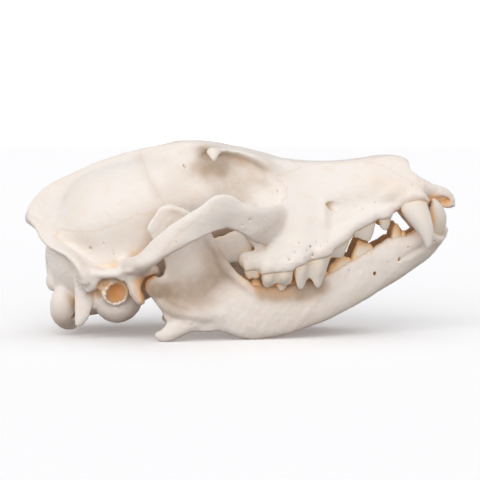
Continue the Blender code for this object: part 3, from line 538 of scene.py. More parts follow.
# What the cranium has on each side, made on the right
cranialSide = {
    "postorbitalProcess": {"rows": [(-13, -16, 90.6, 4.6, 3), (-13, -23.6, 91, 4.2, 2.4),
                                    (-12.8, -26.6, 90.2, 3.2, 2.2), (-12.6, -28.3, 87.9, 1.7, 1.6),
                                    (-12.6, -28.9, 86.2, 0.7, 0.8)]},
    "nuchalCrest": {"rows": [(-105.6, 0.5, 58.2, 1.6, 1.4, 0), (-102.8, -5, 57, 3.6, 1.6, 10),
                             (-98.4, -10.5, 54, 4.2, 2, 20), (-93.8, -16, 49.8, 5.8, 2.2, 25),
                             (-88, -22.5, 45.2, 7, 2.3, 20), (-80.5, -28.4, 40.6, 6, 2.6, 10),
                             (-76, -31.6, 34.6, 5, 3.2, 0), (-73.5, -31.5, 28, 4, 3.4, 0)],
                    "up": (0.55, 0, 0.84)},
    "temporalCrest": {"rows": [(-78, -28, 37, 4, 3.4), (-70, -31, 33, 4.4, 2.8), (-62, -32, 32.4, 5, 2.4),
                               (-55, -34, 33.4, 6, 2.4), (-49, -38, 35.5, 7, 2.6)]},
    "zygomaticArch": {"rows": [(20, -26, 57.6, 3.6, 8.4), (14.6, -33.6, 56, 3.9, 9.2, -10),
                               (9.6, -39.4, 56.4, 3.5, 9, -14),
                               (5, -43.2, 58.8, 3, 7.4, -16), (-1.4, -46.6, 61.3, 2.6, 7.2, -14),
                               (-5.6, -48.6, 63.1, 2.5, 8.5, -12), (-10, -50.4, 63, 2.4, 8.9, -10),
                               (-15.5, -52.2, 60.4, 2.3, 7.3, -8), (-22, -53.6, 56.9, 2.4, 6.5, -4),
                               (-30, -54.4, 52.4, 2.5, 5.9), (-38, -53, 46.5, 2.8, 5.4, 6),
                               (-44, -49.6, 41.1, 3.8, 5, 25), (-48, -44.5, 37.8, 4.8, 4.6, 45),
                               (-52, -37, 35.4, 5.6, 3.8, 60), (-55, -28, 34.4, 5.6, 3.6, 60)],
                      "power": 2.5},
    "glenoidShelf": {"rows": [(-45.6, -48, 38, 3.4, 2.2), (-47.5, -44, 35, 7.2, 2.6), (-48.5, -37, 33.8, 8, 2.8),
                              (-49, -29, 33, 10, 4), (-49, -22, 33, 10, 5)]},
    "retroarticularProcess": {"rows": [(-50.6, -37, 32, 4.4, 8), (-49.8, -37.4, 26, 3.6, 7.4),
                                       (-48, -37.6, 21, 2.4, 6), (-46.6, -37.6, 18.4, 1.3, 3.4)],
                              "up": (0, 1, 0)},
    "earTube": {"rows": [(-61, -20, 23.4, 9.4, 9), (-60.6, -27, 23.2, 8, 7.6), (-60.2, -30.4, 22.6, 6.8, 6.2),
                         (-60, -31.8, 22.6, 5.8, 5.2)]},
    "earRidge": {"rows": [(-72, -31, 25, 2.4, 2.4), (-68.4, -32.6, 30.6, 2.2, 2.2), (-62.6, -34, 33.6, 2.4, 2.2),
                          (-57, -35.6, 32, 2.2, 2), (-53.4, -36.8, 26.6, 1.8, 1.6), (-49.6, -37.6, 20.6, 1.4, 1.3),
                          (-47.2, -37.8, 18, 0.9, 0.9)], "up": (0, 1, 0)},
    "mastoid": {"rows": [(-76, -28, 34, 5, 5), (-73, -29.5, 28, 4.6, 4.4), (-70.5, -30, 24.5, 3.6, 3.4)]},
    "paracondylarProcess": {"rows": [(-76, -26, 30, 5, 3), (-75.8, -26.4, 22, 4.8, 2.2), (-76.2, -26.8, 14, 4.2, 1.8),
                                     (-77.8, -27, 9, 2.8, 1.5), (-79.4, -27, 6.2, 1.1, 0.9)],
                            "up": (0, 1, 0)},
    "occipitalCondyle": {"rows": [(-88.5, -15, 23.5, 3.4, 3.4), (-87.4, -15.4, 18.5, 6, 5.4),
                                  (-86.6, -14, 12, 6.9, 6.4), (-84.6, -10.4, 8, 6, 5), (-81, -6.5, 8.6, 3.6, 3.2)],
                         "up": (0, 1, 0)},
    "pterygoidPlate": {"rows": [(6, -15.5, 46, 2.4, 10), (-4, -13.6, 43.5, 1.4, 8), (-14, -11.8, 40.5, 1.1, 8),
                                (-24, -10.6, 36, 1, 8), (-31, -10.4, 31.4, 1, 6), (-36, -10.6, 27.6, 1, 3)]},
    "molarShelf": {"rows": [(24, -28.5, 41, 7, 6), (13, -29.6, 38.4, 6.8, 5.6), (5, -27.6, 38.6, 5.4, 4.6),
                            (1, -25, 39.4, 3.4, 3.2)], "power": 2.4},
    "nasalTip": {"rows": [(74, -4.6, 88, 3.6, 1), (79.6, -5, 87.4, 3.4, 0.9), (82.8, -5.4, 86, 2.4, 0.8),
                          (84.4, -5.6, 84.4, 1, 0.6)]},
    "canineRim": {"rows": [(79, -19.4, 64.6, 1.3, 1.6), (81.4, -20.4, 68, 1.5, 1.8), (85, -20.6, 70, 1.6, 1.8),
                           (88.8, -19.6, 69.2, 1.7, 1.9), (91.4, -17.4, 66.6, 1.5, 1.7), (92, -15.4, 65, 1, 1.2)],
                  "up": (0, 1, 0)},
    "jugularBridge": {"rows": [(-76, -25, 20, 2.6, 4), (-70, -22, 17, 3, 4)]},
}
cranialLumps = {
    "bulla": {"centre": (-60, -19.5, 19.6), "radii": (12.4, 10.6, 12.4), "turn": (0, 20, 10)},
    "nuchalTubercle": {"centre": (-92, -8, 27), "radii": (4.4, 6, 6)},
    "canineRoot": {"centre": (77, -15.6, 71), "radii": (13, 4.8, 5.2), "turn": (0, -24, 8)},
}
cranialScoops = {
    "orbit": {"centre": (1, -38, 75), "radii": (26.8, 19.5, 19.4)},
    "nasalNotch": {"centre": (82.5, 0, 90), "radii": (6.5, 3.4, 6)},
    "palatineFissure": {"centre": (87.5, -4.2, 67), "radii": (5.4, 1.9, 3.4), "turn": (0, -10, 0)},
}
middleHoles = {
    "choana": [(26, 0, 52, 7, 3.2), (12, 0, 49.5, 8.5, 4.4), (0, 0, 46, 9, 6), (-12, 0, 41, 9, 7.4),
               (-24, 0, 34, 8.6, 7), (-36, 0, 26, 8, 5)],
    "foramenMagnum": [(-112, 0, 17.5, 9.4, 7.4), (-94, 0, 19.4, 9.4, 7.4), (-80, 0, 24.4, 9.4, 8),
                      (-66, 0, 32, 11, 10)],
}
cranialHoles = {
    "condyleRoom": [(-42, -22, 27, 5.2, 5.6), (-42.4, -57, 26, 5.2, 5.6)],
    "earHole": [(-61.4, -25.6, 21.4, 2.6, 2.2), (-61, -26.6, 21.8, 4.4, 3.6, 20), (-60.4, -28.6, 22.4, 5.1, 4.2, 26),
                (-59.6, -31.4, 23.2, 5.3, 4.3, 30), (-58, -40, 25.4, 5.8, 4.8, 30)],
    "infraorbitalCanal": [(56, -23.8, 66.6, 1.2, 1.6), (50, -22.4, 65.6, 1.3, 2), (44, -21.2, 64.6, 1.3, 2.2),
                          (32, -21, 61.5, 1.6, 2.4), (18, -22, 58, 2, 2.6)],
    "lacrimalHole": [(13, -25, 71.6, 0.7, 0.9), (19, -22.4, 71.8, 0.6, 0.8), (28, -17, 70, 0.5, 0.7)],
    "opticHole": [(-9, -22, 62, 1.7, 1.7), (-16, -14, 60, 1.5, 1.5), (-24, -8, 58, 1.3, 1.3)],
    "orbitalFissure": [(-15, -22, 53.6, 1.8, 2.4), (-22, -14, 51.6, 1.6, 2.2), (-30, -8, 50, 1.4, 2)],
    "sphenopalatineHole": [(6, -24, 57, 2, 2.4), (9, -16, 56, 1.7, 2.1), (14, -9, 56, 1.4, 1.8)],
    "ethmoidHole": [(-2, -22, 75, 0.5, 0.6), (0, -14, 75, 0.5, 0.5)],
    "ovalHole": [(-41, -17, 20, 2, 2.2), (-43, -15.5, 27, 2, 2), (-45, -14, 36, 1.6, 1.6)],
    "jugularHole": [(-76, -19, 5, 2.2, 3), (-76.5, -17.4, 13, 1.9, 2.6), (-77, -14, 20, 1.7, 2)],
    "hypoglossalHole": [(-81.5, -20, 7, 1.3, 1.4), (-81.5, -14, 12, 1.2, 1.3), (-82, -9, 17, 1.2, 1.2)],
    "palatineHole": [(27, -12.5, 42, 1.3, 1.7), (26, -12, 48, 1.2, 1.5), (22, -11.5, 52, 1, 1.2)],
}
# Empty sockets of the front teeth, upper and lower: x, y, z, radius and, above, depth
upperSockets = ((104.2, -2.2, 63.4, 1.4, 4), (101.4, -5.6, 63.6, 1.6, 3.6), (97.6, -8.6, 64.4, 2, 3.8))
lowerSockets = ((102.2, -2, 53.4, 1.1), (100.4, -4.2, 53.8, 1.3))
wornSockets = [(91, -15.4, 66.6, 1.2, 1.6), (94, -14.6, 66.8, 2.3, 2.6), (98.4, -12.9, 66.6, 2.5, 2.6),
               (101.6, -10.4, 66, 2, 2.2), (103, -8.6, 65.4, 1.2, 1.4)]


def craniumCutters():
    hollow = [[(x, width * rounded(math.cos(angle), 2.4),
                (top + floor) / 2 + (top - floor) / 2 * rounded(math.sin(angle), 2.4)) for angle in angles(36)]
              for x, width, top, floor in smoothRows(snout["hollow"], 5)]
    middle = [loft("noseHollow", hollow), lump("nasalNotch", cranialScoops)]
    middle += [sweep(name, rows) for name, rows in middleHoles.items()]
    side = [sweep(name, rows) for name, rows in cranialHoles.items()]
    side.append(lump("palatineFissure", cranialScoops))
    for x, y, z, r, deep in upperSockets:
        rows = [(x + 1.2, y - 0.4, z - 4, r, r), (x, y, z, r, r * 1.1),
                (x - deep * 0.5, y + 0.6, z + deep, r * 0.5, r * 0.5)]
        side.append(sweep("socket", rows, up=(0, 1, 0)))
    side.append(sweep("wornSockets", wornSockets))
    return middle + withMirror(side)


def makeCranium():
    side = swept(cranialSide) + [lump(name, cranialLumps) for name in cranialLumps]
    core = grown("core", craniumCore() + [snoutCore()], grain["blend"], grain["finePasses"])
    carved(core, withMirror([lump("orbit", cranialScoops)]))
    side += [collar(spec, -1) for spec in upperTeeth.values()]
    whole = grown("whole", [core] + withMirror(side), grain["blend"], grain["blendPasses"])
    carved(whole, craniumCutters())
    return grown("skullCranium", [whole], grain["bone"], grain["finePasses"])


# Jaw body: x, lower edge, upper edge, y of each, half thickness of each
jaw = {
    "body": (
        (-22, 5.2, 19, -32.4, -32.6, 2, 2.4), (-14, 4.7, 26, -31, -31.4, 3, 3.2), (-6, 2.7, 30, -29.6, -29.8, 4, 4),
        (0, 0.6, 29.6, -28.2, -28.4, 4.6, 4.6), (6, -0.5, 27.8, -26.8, -27, 4.9, 5),
        (12, -0.2, 26.6, -25.6, -26, 5, 5.2), (25, 2.4, 27.5, -23.4, -24, 5, 5), (37, 6.3, 30.2, -21, -21.6, 4.8, 4.6),
        (44, 8.9, 32.4, -19.2, -19.8, 4.8, 4.3), (52, 12.4, 36.6, -16.6, -17.6, 4.9, 4.2),
        (59.5, 16.4, 40.6, -13.8, -15.4, 5.2, 4.2), (67, 20.5, 45, -10.6, -13, 5.6, 4.4),
        (74, 24.3, 48.8, -8, -11, 5.8, 5), (82, 29.5, 49.8, -6.4, -9.4, 5.6, 6),
        (90, 35, 52.8, -5.4, -8.8, 5, 7), (97, 41.4, 54.2, -4.6, -7.8, 4, 6.6),
        (101.8, 46.8, 53.6, -3.2, -5.4, 2.8, 4.8), (103.4, 49.6, 53, -2.4, -3.8, 1.8, 3)),
    # Upright plate from the side: up the front edge, over the tip, down the back
    "ramus": (
        (4, 8), (5, 25), (-2, 32.5), (-7, 36.6), (-10.3, 43), (-12.6, 48), (-15.6, 53.4), (-20, 59),
        (-25.2, 63.2), (-31, 66), (-34.6, 66.2), (-38.2, 64.6), (-41, 61), (-43.8, 56.6), (-44.4, 54.2),
        (-40.4, 47.6), (-36, 38.6), (-36.4, 33.6), (-39, 30.4), (-41, 29), (-41, 23), (-38.6, 17.8),
        (-36.4, 12), (-33, 7), (-23, 4.6), (-10, 4.6)),
    "plate": 1.5,   # half thickness of the upright plate
    "gap": 0.3,     # left between the halves of the jaw at the chin
    "canineSocket": ((86, -6.6, 42, 4, 5), (90.6, -7.4, 46.6, 5, 6.8), (93.4, -8.6, 49.6, 5.4, 7.8),
                     (94.4, -9, 51.4, 4.8, 7.2), (94.8, -9.2, 52.2, 3.6, 5.6)),
}
# Ridges of the upright plate: how far they stand out of its middle, then x, z, half thickness, half height
jawRidges = {
    "coronoidRidge": (0.8, ((11, 17, 2, 2.6), (4, 25, 3.2, 3.2), (-3.5, 31.2, 3.4, 3.2), (-9, 38.5, 3, 3),
                            (-13.4, 47, 2.6, 2.6), (-18.6, 55.6, 2.2, 2.2), (-26, 62.2, 1.8, 1.9),
                            (-34, 64.8, 1.6, 1.8))),
    "condyleRidge": (0.6, ((-40.4, 26, 4, 3.6), (-37, 20, 3.4, 3), (-30, 14.5, 3.2, 3), (-20, 12, 3.2, 2.6),
                           (-10, 11, 2.6, 1.6))),
}
jawEnds = {
    "jawCondyle": [(-41.6, -26.6, 28, 1.6, 1.8), (-41.7, -29, 27.8, 3.6, 3.8), (-42, -35, 27.4, 4.2, 4.8),
                   (-41.6, -38.6, 27, 4, 5), (-41, -41, 26.6, 3.2, 4.2), (-40.6, -42.4, 26.2, 1.6, 2.2)],
    "condyleNeck": [(-40.6, -39.4, 26, 3.8, 5), (-36.6, -38, 26.4, 3, 5.4), (-30, -36, 27, 1.8, 5)],
    "angularProcess": [(-15, -31.4, 10, 1.8, 3.6), (-23, -33.2, 9.2, 2.8, 4.6), (-30, -34.8, 6.6, 3, 4.6),
                       (-35, -35.4, 3.6, 2.8, 4), (-38.4, -35.2, 3, 2.2, 3.2), (-41, -34.6, 4.2, 1, 1.3)],
}
jawHoles = {
    "mentalHole": [(80, -16, 38.2, 1, 1.3), (76.6, -12, 37.4, 0.9, 1.1), (72, -9, 36.4, 0.8, 0.8)],
    "mentalHoleFront": [(90.6, -13, 47, 1.1, 1), (87.6, -9.6, 46, 0.9, 0.9), (85, -8, 45, 0.7, 0.7)],
    "mentalHoleBack": [(67.6, -19, 31.4, 0.9, 0.8), (65, -15.4, 31, 0.8, 0.7), (62, -12, 30.6, 0.6, 0.6)],
    "mandibularHole": [(-22, -27, 24, 2, 2.6), (-16, -30.4, 20, 1.6, 2), (-8, -30, 17, 1.3, 1.5)],
}


def ramusSide(x, z):
    # The upright plate's middle, which leans out towards the back
    return -30.5 + 0.2 * (x + 8) - 0.05 * (z - 15)


def makeJaw():
    rings = []
    for x, low, high, lowY, highY, lowHalf, highHalf in smoothRows(jaw["body"], 5):
        ring = []
        for angle in angles(40):
            rise = 0.5 + 0.5 * rounded(math.sin(angle), 2.4)
            half = lowHalf + (highHalf - lowHalf) * rise
            ring.append((x, lowY + (highY - lowY) * rise + half * rounded(math.cos(angle), 2.5),
                         low + (high - low) * rise))
        rings.append(ring)
    corners = smoothRows(jaw["ramus"] + (jaw["ramus"][0],), 4)[:-1]
    ramus = [[(x, ramusSide(x, z) + side * jaw["plate"], z) for x, z in corners] for side in (-1, 1)]
    pieces = [loft("jawBody", rings), loft("ramus", ramus)]
    for name, (shift, rows) in jawRidges.items():
        pieces.append(sweep(name, [(x, ramusSide(x, z) - shift, z, wide, high) for x, z, wide, high in rows],
                            up=(0, 1, 0)))
    pieces += [sweep(name, rows) for name, rows in jawEnds.items()]
    pieces += [collar(spec, 1) for spec in lowerTeeth.values()]
    pieces.append(sweep("canineSocket", jaw["canineSocket"], up=(1, 0, 0)))
    whole = grown("jawWhole", pieces, grain["blend"], grain["blendPasses"])
    holes = [sweep(name, rows) for name, rows in jawHoles.items()]
    holes += [box("floorCut", (-200, -200, -50), (200, 200, 0)),
              box("otherHalf", (-200, -jaw["gap"] / 2, -60), (200, 200, 200))]
    for x, y, z, r in lowerSockets:
        rows = [(x + 0.6, y, z + 4, r, r), (x, y, z, r, r), (x - 3, y, z - 4.4, r * 0.5, r * 0.5)]
        holes.append(sweep("socket", rows, up=(0, 1, 0)))
    return carved(grown("jawRight", [whole], grain["bone"], grain["finePasses"]), holes)


# Soft swellings and hollows of the cranium's right side: path, radius, height
cranialRelief = {
    "canineRoot": (((86, -19.5, 66.5), (78, -17.6, 71.5), (68, -15.8, 76.5)), 4.4, 0.7),
    "rootP4Front": (((40, -30, 42), (40.5, -28, 50)), 2.6, 0.6),
    "rootP4Back": (((29, -33.6, 38), (29, -33, 46)), 2.6, 0.55),
    "rootP3Front": (((53, -23, 50), (53.5, -21.6, 56)), 2, 0.4),
    "rootP3Back": (((47.5, -27, 46), (48, -25, 53)), 2, 0.4),
    "rootP2": (((62, -20.4, 57), (62, -19.8, 62)), 2.2, 0.35),
    "betweenP4P3": (((44.5, -28.6, 42), (44, -26, 50)), 1.8, -0.45),
    "betweenP3P2": (((56.5, -22, 51.5), (57, -20.6, 56)), 1.8, -0.35),
    "betweenRootsP4": (((34.5, -33, 39.5), (34.5, -32.4, 45)), 1.8, -0.4),
    "foreheadDip": (((36, 0, 86), (14, 0, 89.5), (-6, 0, 94.5), (-22, 0, 96.6)), 5.5, -1.1),
    "noseDip": (((78, 0, 89), (60, 0, 87.8), (40, 0, 86)), 2.4, -0.35),
    "beforeCanal": (((46, -23, 61.6), (49.6, -21.6, 64)), 3.2, -0.6),
    "canalWall": (((40.4, -25.6, 55), (40.8, -24.6, 62), (41.2, -23, 68)), 2, 0.8),
    "canalRoof": (((44, -21.6, 69), (52, -19.6, 70)), 2.6, 0.25),
    "canalLip": (((47, -24, 58.6), (52, -22.6, 60.6)), 2, 0.4),
    "cheekHollow": (((28, -27, 66), (34, -24.5, 64)), 6, -0.6),
    "behindProcess": (((-17.4, -19, 88), (-18.6, -17, 85), (-21, -17, 81)), 5, -3),
    "beforeProcess": (((-9, -19, 86), (-6, -17.6, 81)), 4, -1.2),
    "earGroove": (((-68, -31, 27), (-63.8, -32, 29.8), (-58.8, -33, 30), (-55, -34, 26.6), (-52, -35, 21)), 1.2, -1.1),
    "earLip": (((-64.6, -32, 25.4), (-62.6, -33, 28)), 1.5, 0.5),
    "earNotch": (((-54.8, -33, 20.4), (-56, -33, 18.8)), 1.3, -0.6),
    "mastoidCrevice": (((-74, -29, 24.2), (-68, -29, 19.6), (-65.6, -29, 22)), 1.2, -1.3),
    "retroHollow": (((-50.4, -44, 29), (-48.8, -44, 22)), 1.9, -1.1),
    "temporalLine": (((-14, -25, 94), (-22, -14, 95.8), (-33, -6, 95.6), (-46, -2.6, 92.6)), 1.4, 0.4),
    "temporalHollow": (((-20, -20, 90), (-30, -14, 88), (-40, -12, 86)), 5, -0.5),
    "squamosalRoot": (((-84, -27, 45), (-74, -31, 42), (-64, -31, 43), (-54, -32, 45)), 5, -0.7),
    "squamosalSwell": (((-80, -27, 56), (-68, -30, 60), (-56, -30, 64)), 7, 0.5),
    "archHollow": (((-2, -48, 60), (-14, -53, 58), (-26, -55, 53)), 3.4, -0.35),
    "archMasseter": (((4, -44, 52.4), (-10, -51, 54.6), (-22, -54.6, 50.6), (-34, -55, 44.6)), 1.1, 0.4),
    "nuchalRim": (((-104, -6, 58.6), (-96, -15, 53), (-88, -23.6, 47), (-80, -29.4, 42)), 1.3, 0.35),
    "occiputMiddle": (((-98, 0, 52), (-97, 0, 40), (-95, 0, 30)), 2, 0.9),
    "occiputSide": (((-94, -10, 48), (-93, -12, 38)), 4, -0.7),
    "condyleNeck": (((-84, -19, 22), (-83, -17, 14)), 2, -0.4),
    "bullaFront": (((-50, -16, 17), (-52, -22, 17)), 2, -0.4),
    "palateGroove": (((34, -12, 50), (50, -10, 56), (70, -8.6, 63.4)), 1.3, -0.5),
    "palateMiddle": (((28, 0, 49), (60, 0, 59.5), (84, 0, 66.5)), 1.2, 0.35),
    "canineSocket": (((79, -21.6, 62.5), (81.6, -22.4, 66.6), (86, -22.6, 68), (90.6, -21, 66.6)), 1, 0.35),
    "molarPits": (((34, -33, 45.5), (24, -34, 40)), 4, -0.15),
}
# Seams between the bones, drawn near the surface
cranialSeams = {
    "squamosal": ((-88, -24, 53), (-77.4, -28, 52.3), (-68.2, -30, 53.3), (-57.1, -31, 57.2), (-49.3, -30.5, 61.5),
                  (-42, -28, 61), (-37, -25, 56), (-36, -22, 46)),
    "coronal": ((-50, -1.5, 93.6), (-49.5, -8, 89.4), (-47.5, -13, 85.6), (-43.7, -24, 76.8), (-38.9, -26, 70),
                (-36, -25.6, 64), (-33, -23, 55)),
    "sphenoid": ((-36, -25, 62), (-26, -19.5, 61), (-14, -17, 58), (-4, -17, 56)),
    "zygomaticTemporal": ((-15.6, -52, 67.4), (-19, -54, 61), (-25, -56, 56.4), (-30.6, -56.6, 52), (-36, -55, 44)),
    "zygomaticMaxillary": ((19.6, -31, 68.4), (17.4, -35, 64.6), (20.6, -36.4, 58.6), (14, -41, 54), (8.4, -43, 50)),
    "lacrimal": ((19.6, -30.4, 68.8), (23.6, -28.4, 70.6), (23.6, -26, 76.6), (19.6, -25, 79.6)),
    "frontoMaxillary": ((19.8, -24.6, 79.8), (24.6, -19, 82), (30, -14.6, 83.4), (26, -11, 85.6), (18, -6.6, 88),
                        (16.6, -1, 89)),
    "nasal": ((24.6, -10.6, 85.8), (40, -9.4, 85.4), (52, -9.7, 85.9), (62, -10, 86.8), (72, -10.2, 88),
              (82.4, -10.6, 86)),
    "incisive": ((60, -10.4, 86.4), (70, -13.2, 84), (78, -15.8, 79.4), (84, -17, 75.4), (89, -17.6, 72.4),
                 (92.2, -15.4, 67.6)),
    "midline": ((84, 0, 89), (60, 0, 87.9), (30, 0, 86.6), (0, 0, 92.6), (-24, 0, 96), (-44, 0, 93.6)),
    "palateMidline": ((28, 0, 49.4), (60, 0, 59.5), (86, 0, 66.6), (104, 0, 64.6)),
    "palatine": ((22, -13, 45.6), (33, -12.6, 49.6), (40, -7, 52), (41, 0, 52)),
    "basal": ((-51, 0, 14), (-51, -6, 14.4), (-50, -10, 16)),
    "basalFront": ((-35, 0, 22), (-35, -8, 23)),
    "mastoid": ((-77, -30, 36), (-72, -31.6, 31), (-68, -32, 28), (-66, -31, 24)),
    "archRoot": ((-52, -37, 38.6), (-50, -44, 37.6), (-46, -49, 38)),
}
# Little holes where blood vessels pass: x, y, z and radius; the depth follows from the radius
cranialPits = (
    (33.7, -32.6, 45.6, 0.45), (34.9, -33, 41.6, 0.4), (28.4, -33, 47.1, 0.4), (23.6, -35, 39.2, 0.45),
    (31.8, -33, 43.5, 0.35), (36.6, -31.6, 47.6, 0.3), (30.4, -33.4, 40.6, 0.3), (38.6, -30.4, 44.4, 0.3),
    (26.2, -34.2, 42.6, 0.3), (42, -28.6, 46.6, 0.3), (-26.5, -18, 85.4, 0.5), (60, -19, 62, 0.3),
    (66, -18.4, 66, 0.3), (88, -15.6, 77.4, 0.4), (93.6, -12.6, 75.4, 0.35), (84, -17, 74, 0.3),
    (-72.6, -31, 44, 0.5), (-66, -32, 46.4, 0.35), (-61, -32, 42.4, 0.4), (-94, -5, 44, 0.4), (-93, -9, 40, 0.4),
    (-80, -27, 33, 0.5), (-30, -55, 50, 0.3), (4, -44.6, 60, 0.35), (10, -41, 60.6, 0.3), (1, -46.6, 57, 0.3),
)
jawRelief = {
    "masseterFloor": (((-6, -32.6, 26), (-20, -35.4, 25), (-30, -37.2, 25)), 8, -1.7),
    "masseterTop": (((-16, -37, 40), (-26, -39.6, 50)), 6, -0.8),
    "fossaRim": (((-36, -38.4, 18.4), (-30, -37.4, 15.4), (-22, -36, 13.8), (-10, -34, 13)), 3.2, 1.1),
    "canineRoot": (((94, -12.4, 52), (86, -12, 46), (76, -12.6, 40)), 4, 0.5),
    "gumGroove": (((30, -27, 29.4), (44, -24, 33), (60, -19.6, 41)), 1.2, -0.2),
    "rootP4": (((51, -22.4, 34), (51, -22, 28)), 1.8, 0.3),
    "rootP4Back": (((46, -23.6, 31), (46, -23.4, 25)), 1.8, 0.3),
    "rootM1": (((38, -26, 28), (38, -26, 20)), 2.4, 0.35),
    "rootM1Back": (((28, -28, 26), (28, -28, 18)), 2.4, 0.35),
    "lowerEdge": (((60, -19, 20), (44, -24, 11), (20, -29, 5)), 5, -0.25),
    "symphysisRough": (((78, -0.4, 38), (96, -0.4, 48)), 6, 0.2),
    "mentalRecess": (((80.6, -15, 38.4), (85, -14, 41), (88, -13, 43)), 1.7, -0.6),
    "mentalLip": (((80, -15, 35.8), (85, -14, 37.6), (90, -12.6, 41)), 1.8, 0.34),
    "chinHollow": (((92, -10.6, 46), (98, -8, 50)), 2, -0.3),
}
jawPits = (
    (72.4, -15.2, 36.4, 0.3), (83, -15, 43.6, 0.35), (95, -10.4, 48, 0.35), (98, -7.6, 49.6, 0.3),
    (92.4, -11.6, 44.4, 0.3), (-24, -33.6, 8.6, 0.3), (54, -21.8, 33, 0.3),
)
# Rough, porous places: path, radius, height of the bumps
cranialRough = (
    (((-97, -12, 50), (-88, -22, 42), (-80, -28, 36), (-74, -31, 30)), 5, 0.2),
    (((-104, -3, 60), (-98, -4, 70), (-88, -3, 77)), 3, 0.1),
    (((-98, -3, 50), (-95, -8, 40), (-92, -12, 34)), 7, 0.13),
    (((94, -12, 74), (102, -7, 71), (106, -2, 67)), 4, 0.19),
    (((92, -12, 68), (100, -10, 66), (105, -5, 64.6)), 3, 0.14),
    (((0, -26, 39), (6, -33, 38), (2, -22, 42)), 4, 0.13),
    (((78, -20, 62.6), (72, -19.6, 60.4), (66, -19.8, 58.6)), 1.8, 0.16),
    (((-76, -29, 26), (-68, -30, 24), (-70, -26, 18)), 4, 0.18),
    (((-66, -31, 22), (-62, -31, 28), (-55, -31, 24), (-59, -31, 17.6)), 2.4, 0.34),
    (((40, -30, 41.6), (26, -35, 37), (12, -35, 34)), 1.8, 0.14),
    (((66, -19.4, 57.8), (54, -22.4, 49.8), (42, -27.6, 42.6)), 2.2, 0.2),
)
jawRough = (
    (((98, -6, 50), (102, -3, 51), (90, -10, 51)), 3, 0.15),
    (((84, -10, 50), (70, -14, 46), (56, -17.6, 38.6), (40, -22, 32)), 2, 0.18),
    (((-38, -35, 4), (-30, -35, 6)), 5, 0.05),
)
# Heights and lengths of the bone's skin
boneSkin = {"coarse": 0.16, "coarseLength": 15, "fine": 0.05, "fineLength": 3.4, "bumpLength": 3.4,
            "smallBumpLength": 1.9, "smallBump": 0.6, "wanderLength": 2.6, "wander": 0.3,
            "seamDepth": 0.1, "seamRadius": 0.42, "pitDepth": 2.6, "pitWidth": 1.25,
            "gumGroove": 0.2, "gumRim": 0.16, "rimPlace": 2.1, "gumWidth": 0.9}
bonePaint = {"wanderLength": 2.2, "wander": 0.35, "seamReach": 6, "pitWidth": 1.5, "gumReach": 20}
# Rays out of each point, how far near and far bone lies, and what counts as buried
boneShade = {"rays": 16, "reach": 12, "far": 45, "lift": 0.15, "buried": 0.78, "hollowPasses": 3,
             "innerPasses": 10, "goldenAngle": 2.399963}
# Stains and painted shade: path, radius, strength
cranialStainsAndShade = {
    "nuchal": (((-106.4, 0, 58), (-103, -7, 57), (-96, -14, 52), (-90, -21, 47)), 1.8, 0.7),
    "crest": (((-97, 0, 74.4), (-88.9, 0, 78.6), (-80, 0, 82)), 1.6, 0.45),
    "behindEar": (((-72, -29, 22), (-66, -30, 20)), 4, 0.6),
    "incisors": (((93, -9, 66), (100, -8, 64.6), (105.6, -2, 64)), 2.4, 0.4),
    "coronal": (((-50, -6, 88), (-45, -22, 78), (-40, -26, 71)), 4, 0.36),
    "molars": (((24, -27, 38), (8, -26, 38)), 5, 0.5),
    # painted shadow and shade beside the postorbital process, here and in the next line
    "behindProcess": (((-17.5, -19, 89), (-17.6, -17, 84)), 6.4, 1.3),
    "beforeProcess": (((-10, -20, 87.4), (-8, -18, 83)), 4.6, 0.9),
    # painted shade in the orbit and along the braincase's side, here and in the next line
    "orbit": (((9, -23, 80), (0, -19, 76), (-8, -18, 72)), 10, 0.56),
    "caseSide": (((-84, -27, 50), (-72, -30, 49), (-60, -31, 50)), 7, 0.26),
    "mastoid": (((-84, -25, 38), (-77, -29, 32)), 4, 0.3),
    "squamosal": (((-78, -29, 50), (-72, -30, 46)), 3.6, 0.25),
    # painted shade at the arch's front root and under the orbit, here and in the next line
    "cheekRoot": (((16, -38, 56), (10, -41, 53)), 3.4, 0.3),
    "underOrbit": (((12, -38, 64), (18, -34, 60)), 4, 0.3),
    # painted shade on the undersides of the bulla and the condyle, here and in the next line
    "bulla": (((-66, -20, 8), (-54, -20, 8)), 8, 0.45),
    "condyle": (((-88, -20, 10), (-86, -14, 6)), 7, 0.5),
    # painted shade in the groove above the ear hole
    "aboveEar": (((-68, -31, 28.4), (-62, -31, 30.6), (-56, -32, 29.4)), 2.2, 0.8),
}
# Painted glow: honey colour where light would shine through thin bone or into shaded gaps: path, radius, strength
cranialPaintedGlow = {
    "ear": (((-60.4, -27.4, 22.4), (-61, -24, 22)), 3.6, 1.3),
    "retro": (((-48.2, -42, 29.6), (-46.2, -41, 22)), 3.1, 1.1),
    "socket": (((93, -14, 66.4), (98.4, -12, 66.6), (102, -9.6, 66)), 2.4, 1.2),
    "shelf": (((-40.6, -47, 34), (-36, -46, 36)), 3, 0.9),
    "mastoid": (((-68.4, -29, 22), (-64.6, -30, 25)), 2.2, 0.7),
    "canine": (((76, -15, 62.6), (80, -14, 65), (84, -9, 67)), 3.4, 0.9),
    "molars": (((2, -28, 37), (10, -30, 33.6)), 3, 0.5),
    "canineRoot": (((85, -18, 67), (77, -18, 72), (68, -17, 76)), 6, 0.13),
    "insideTeeth": (((40, -20, 48), (50, -15, 54), (66, -12, 61)), 3.6, 0.6),
}
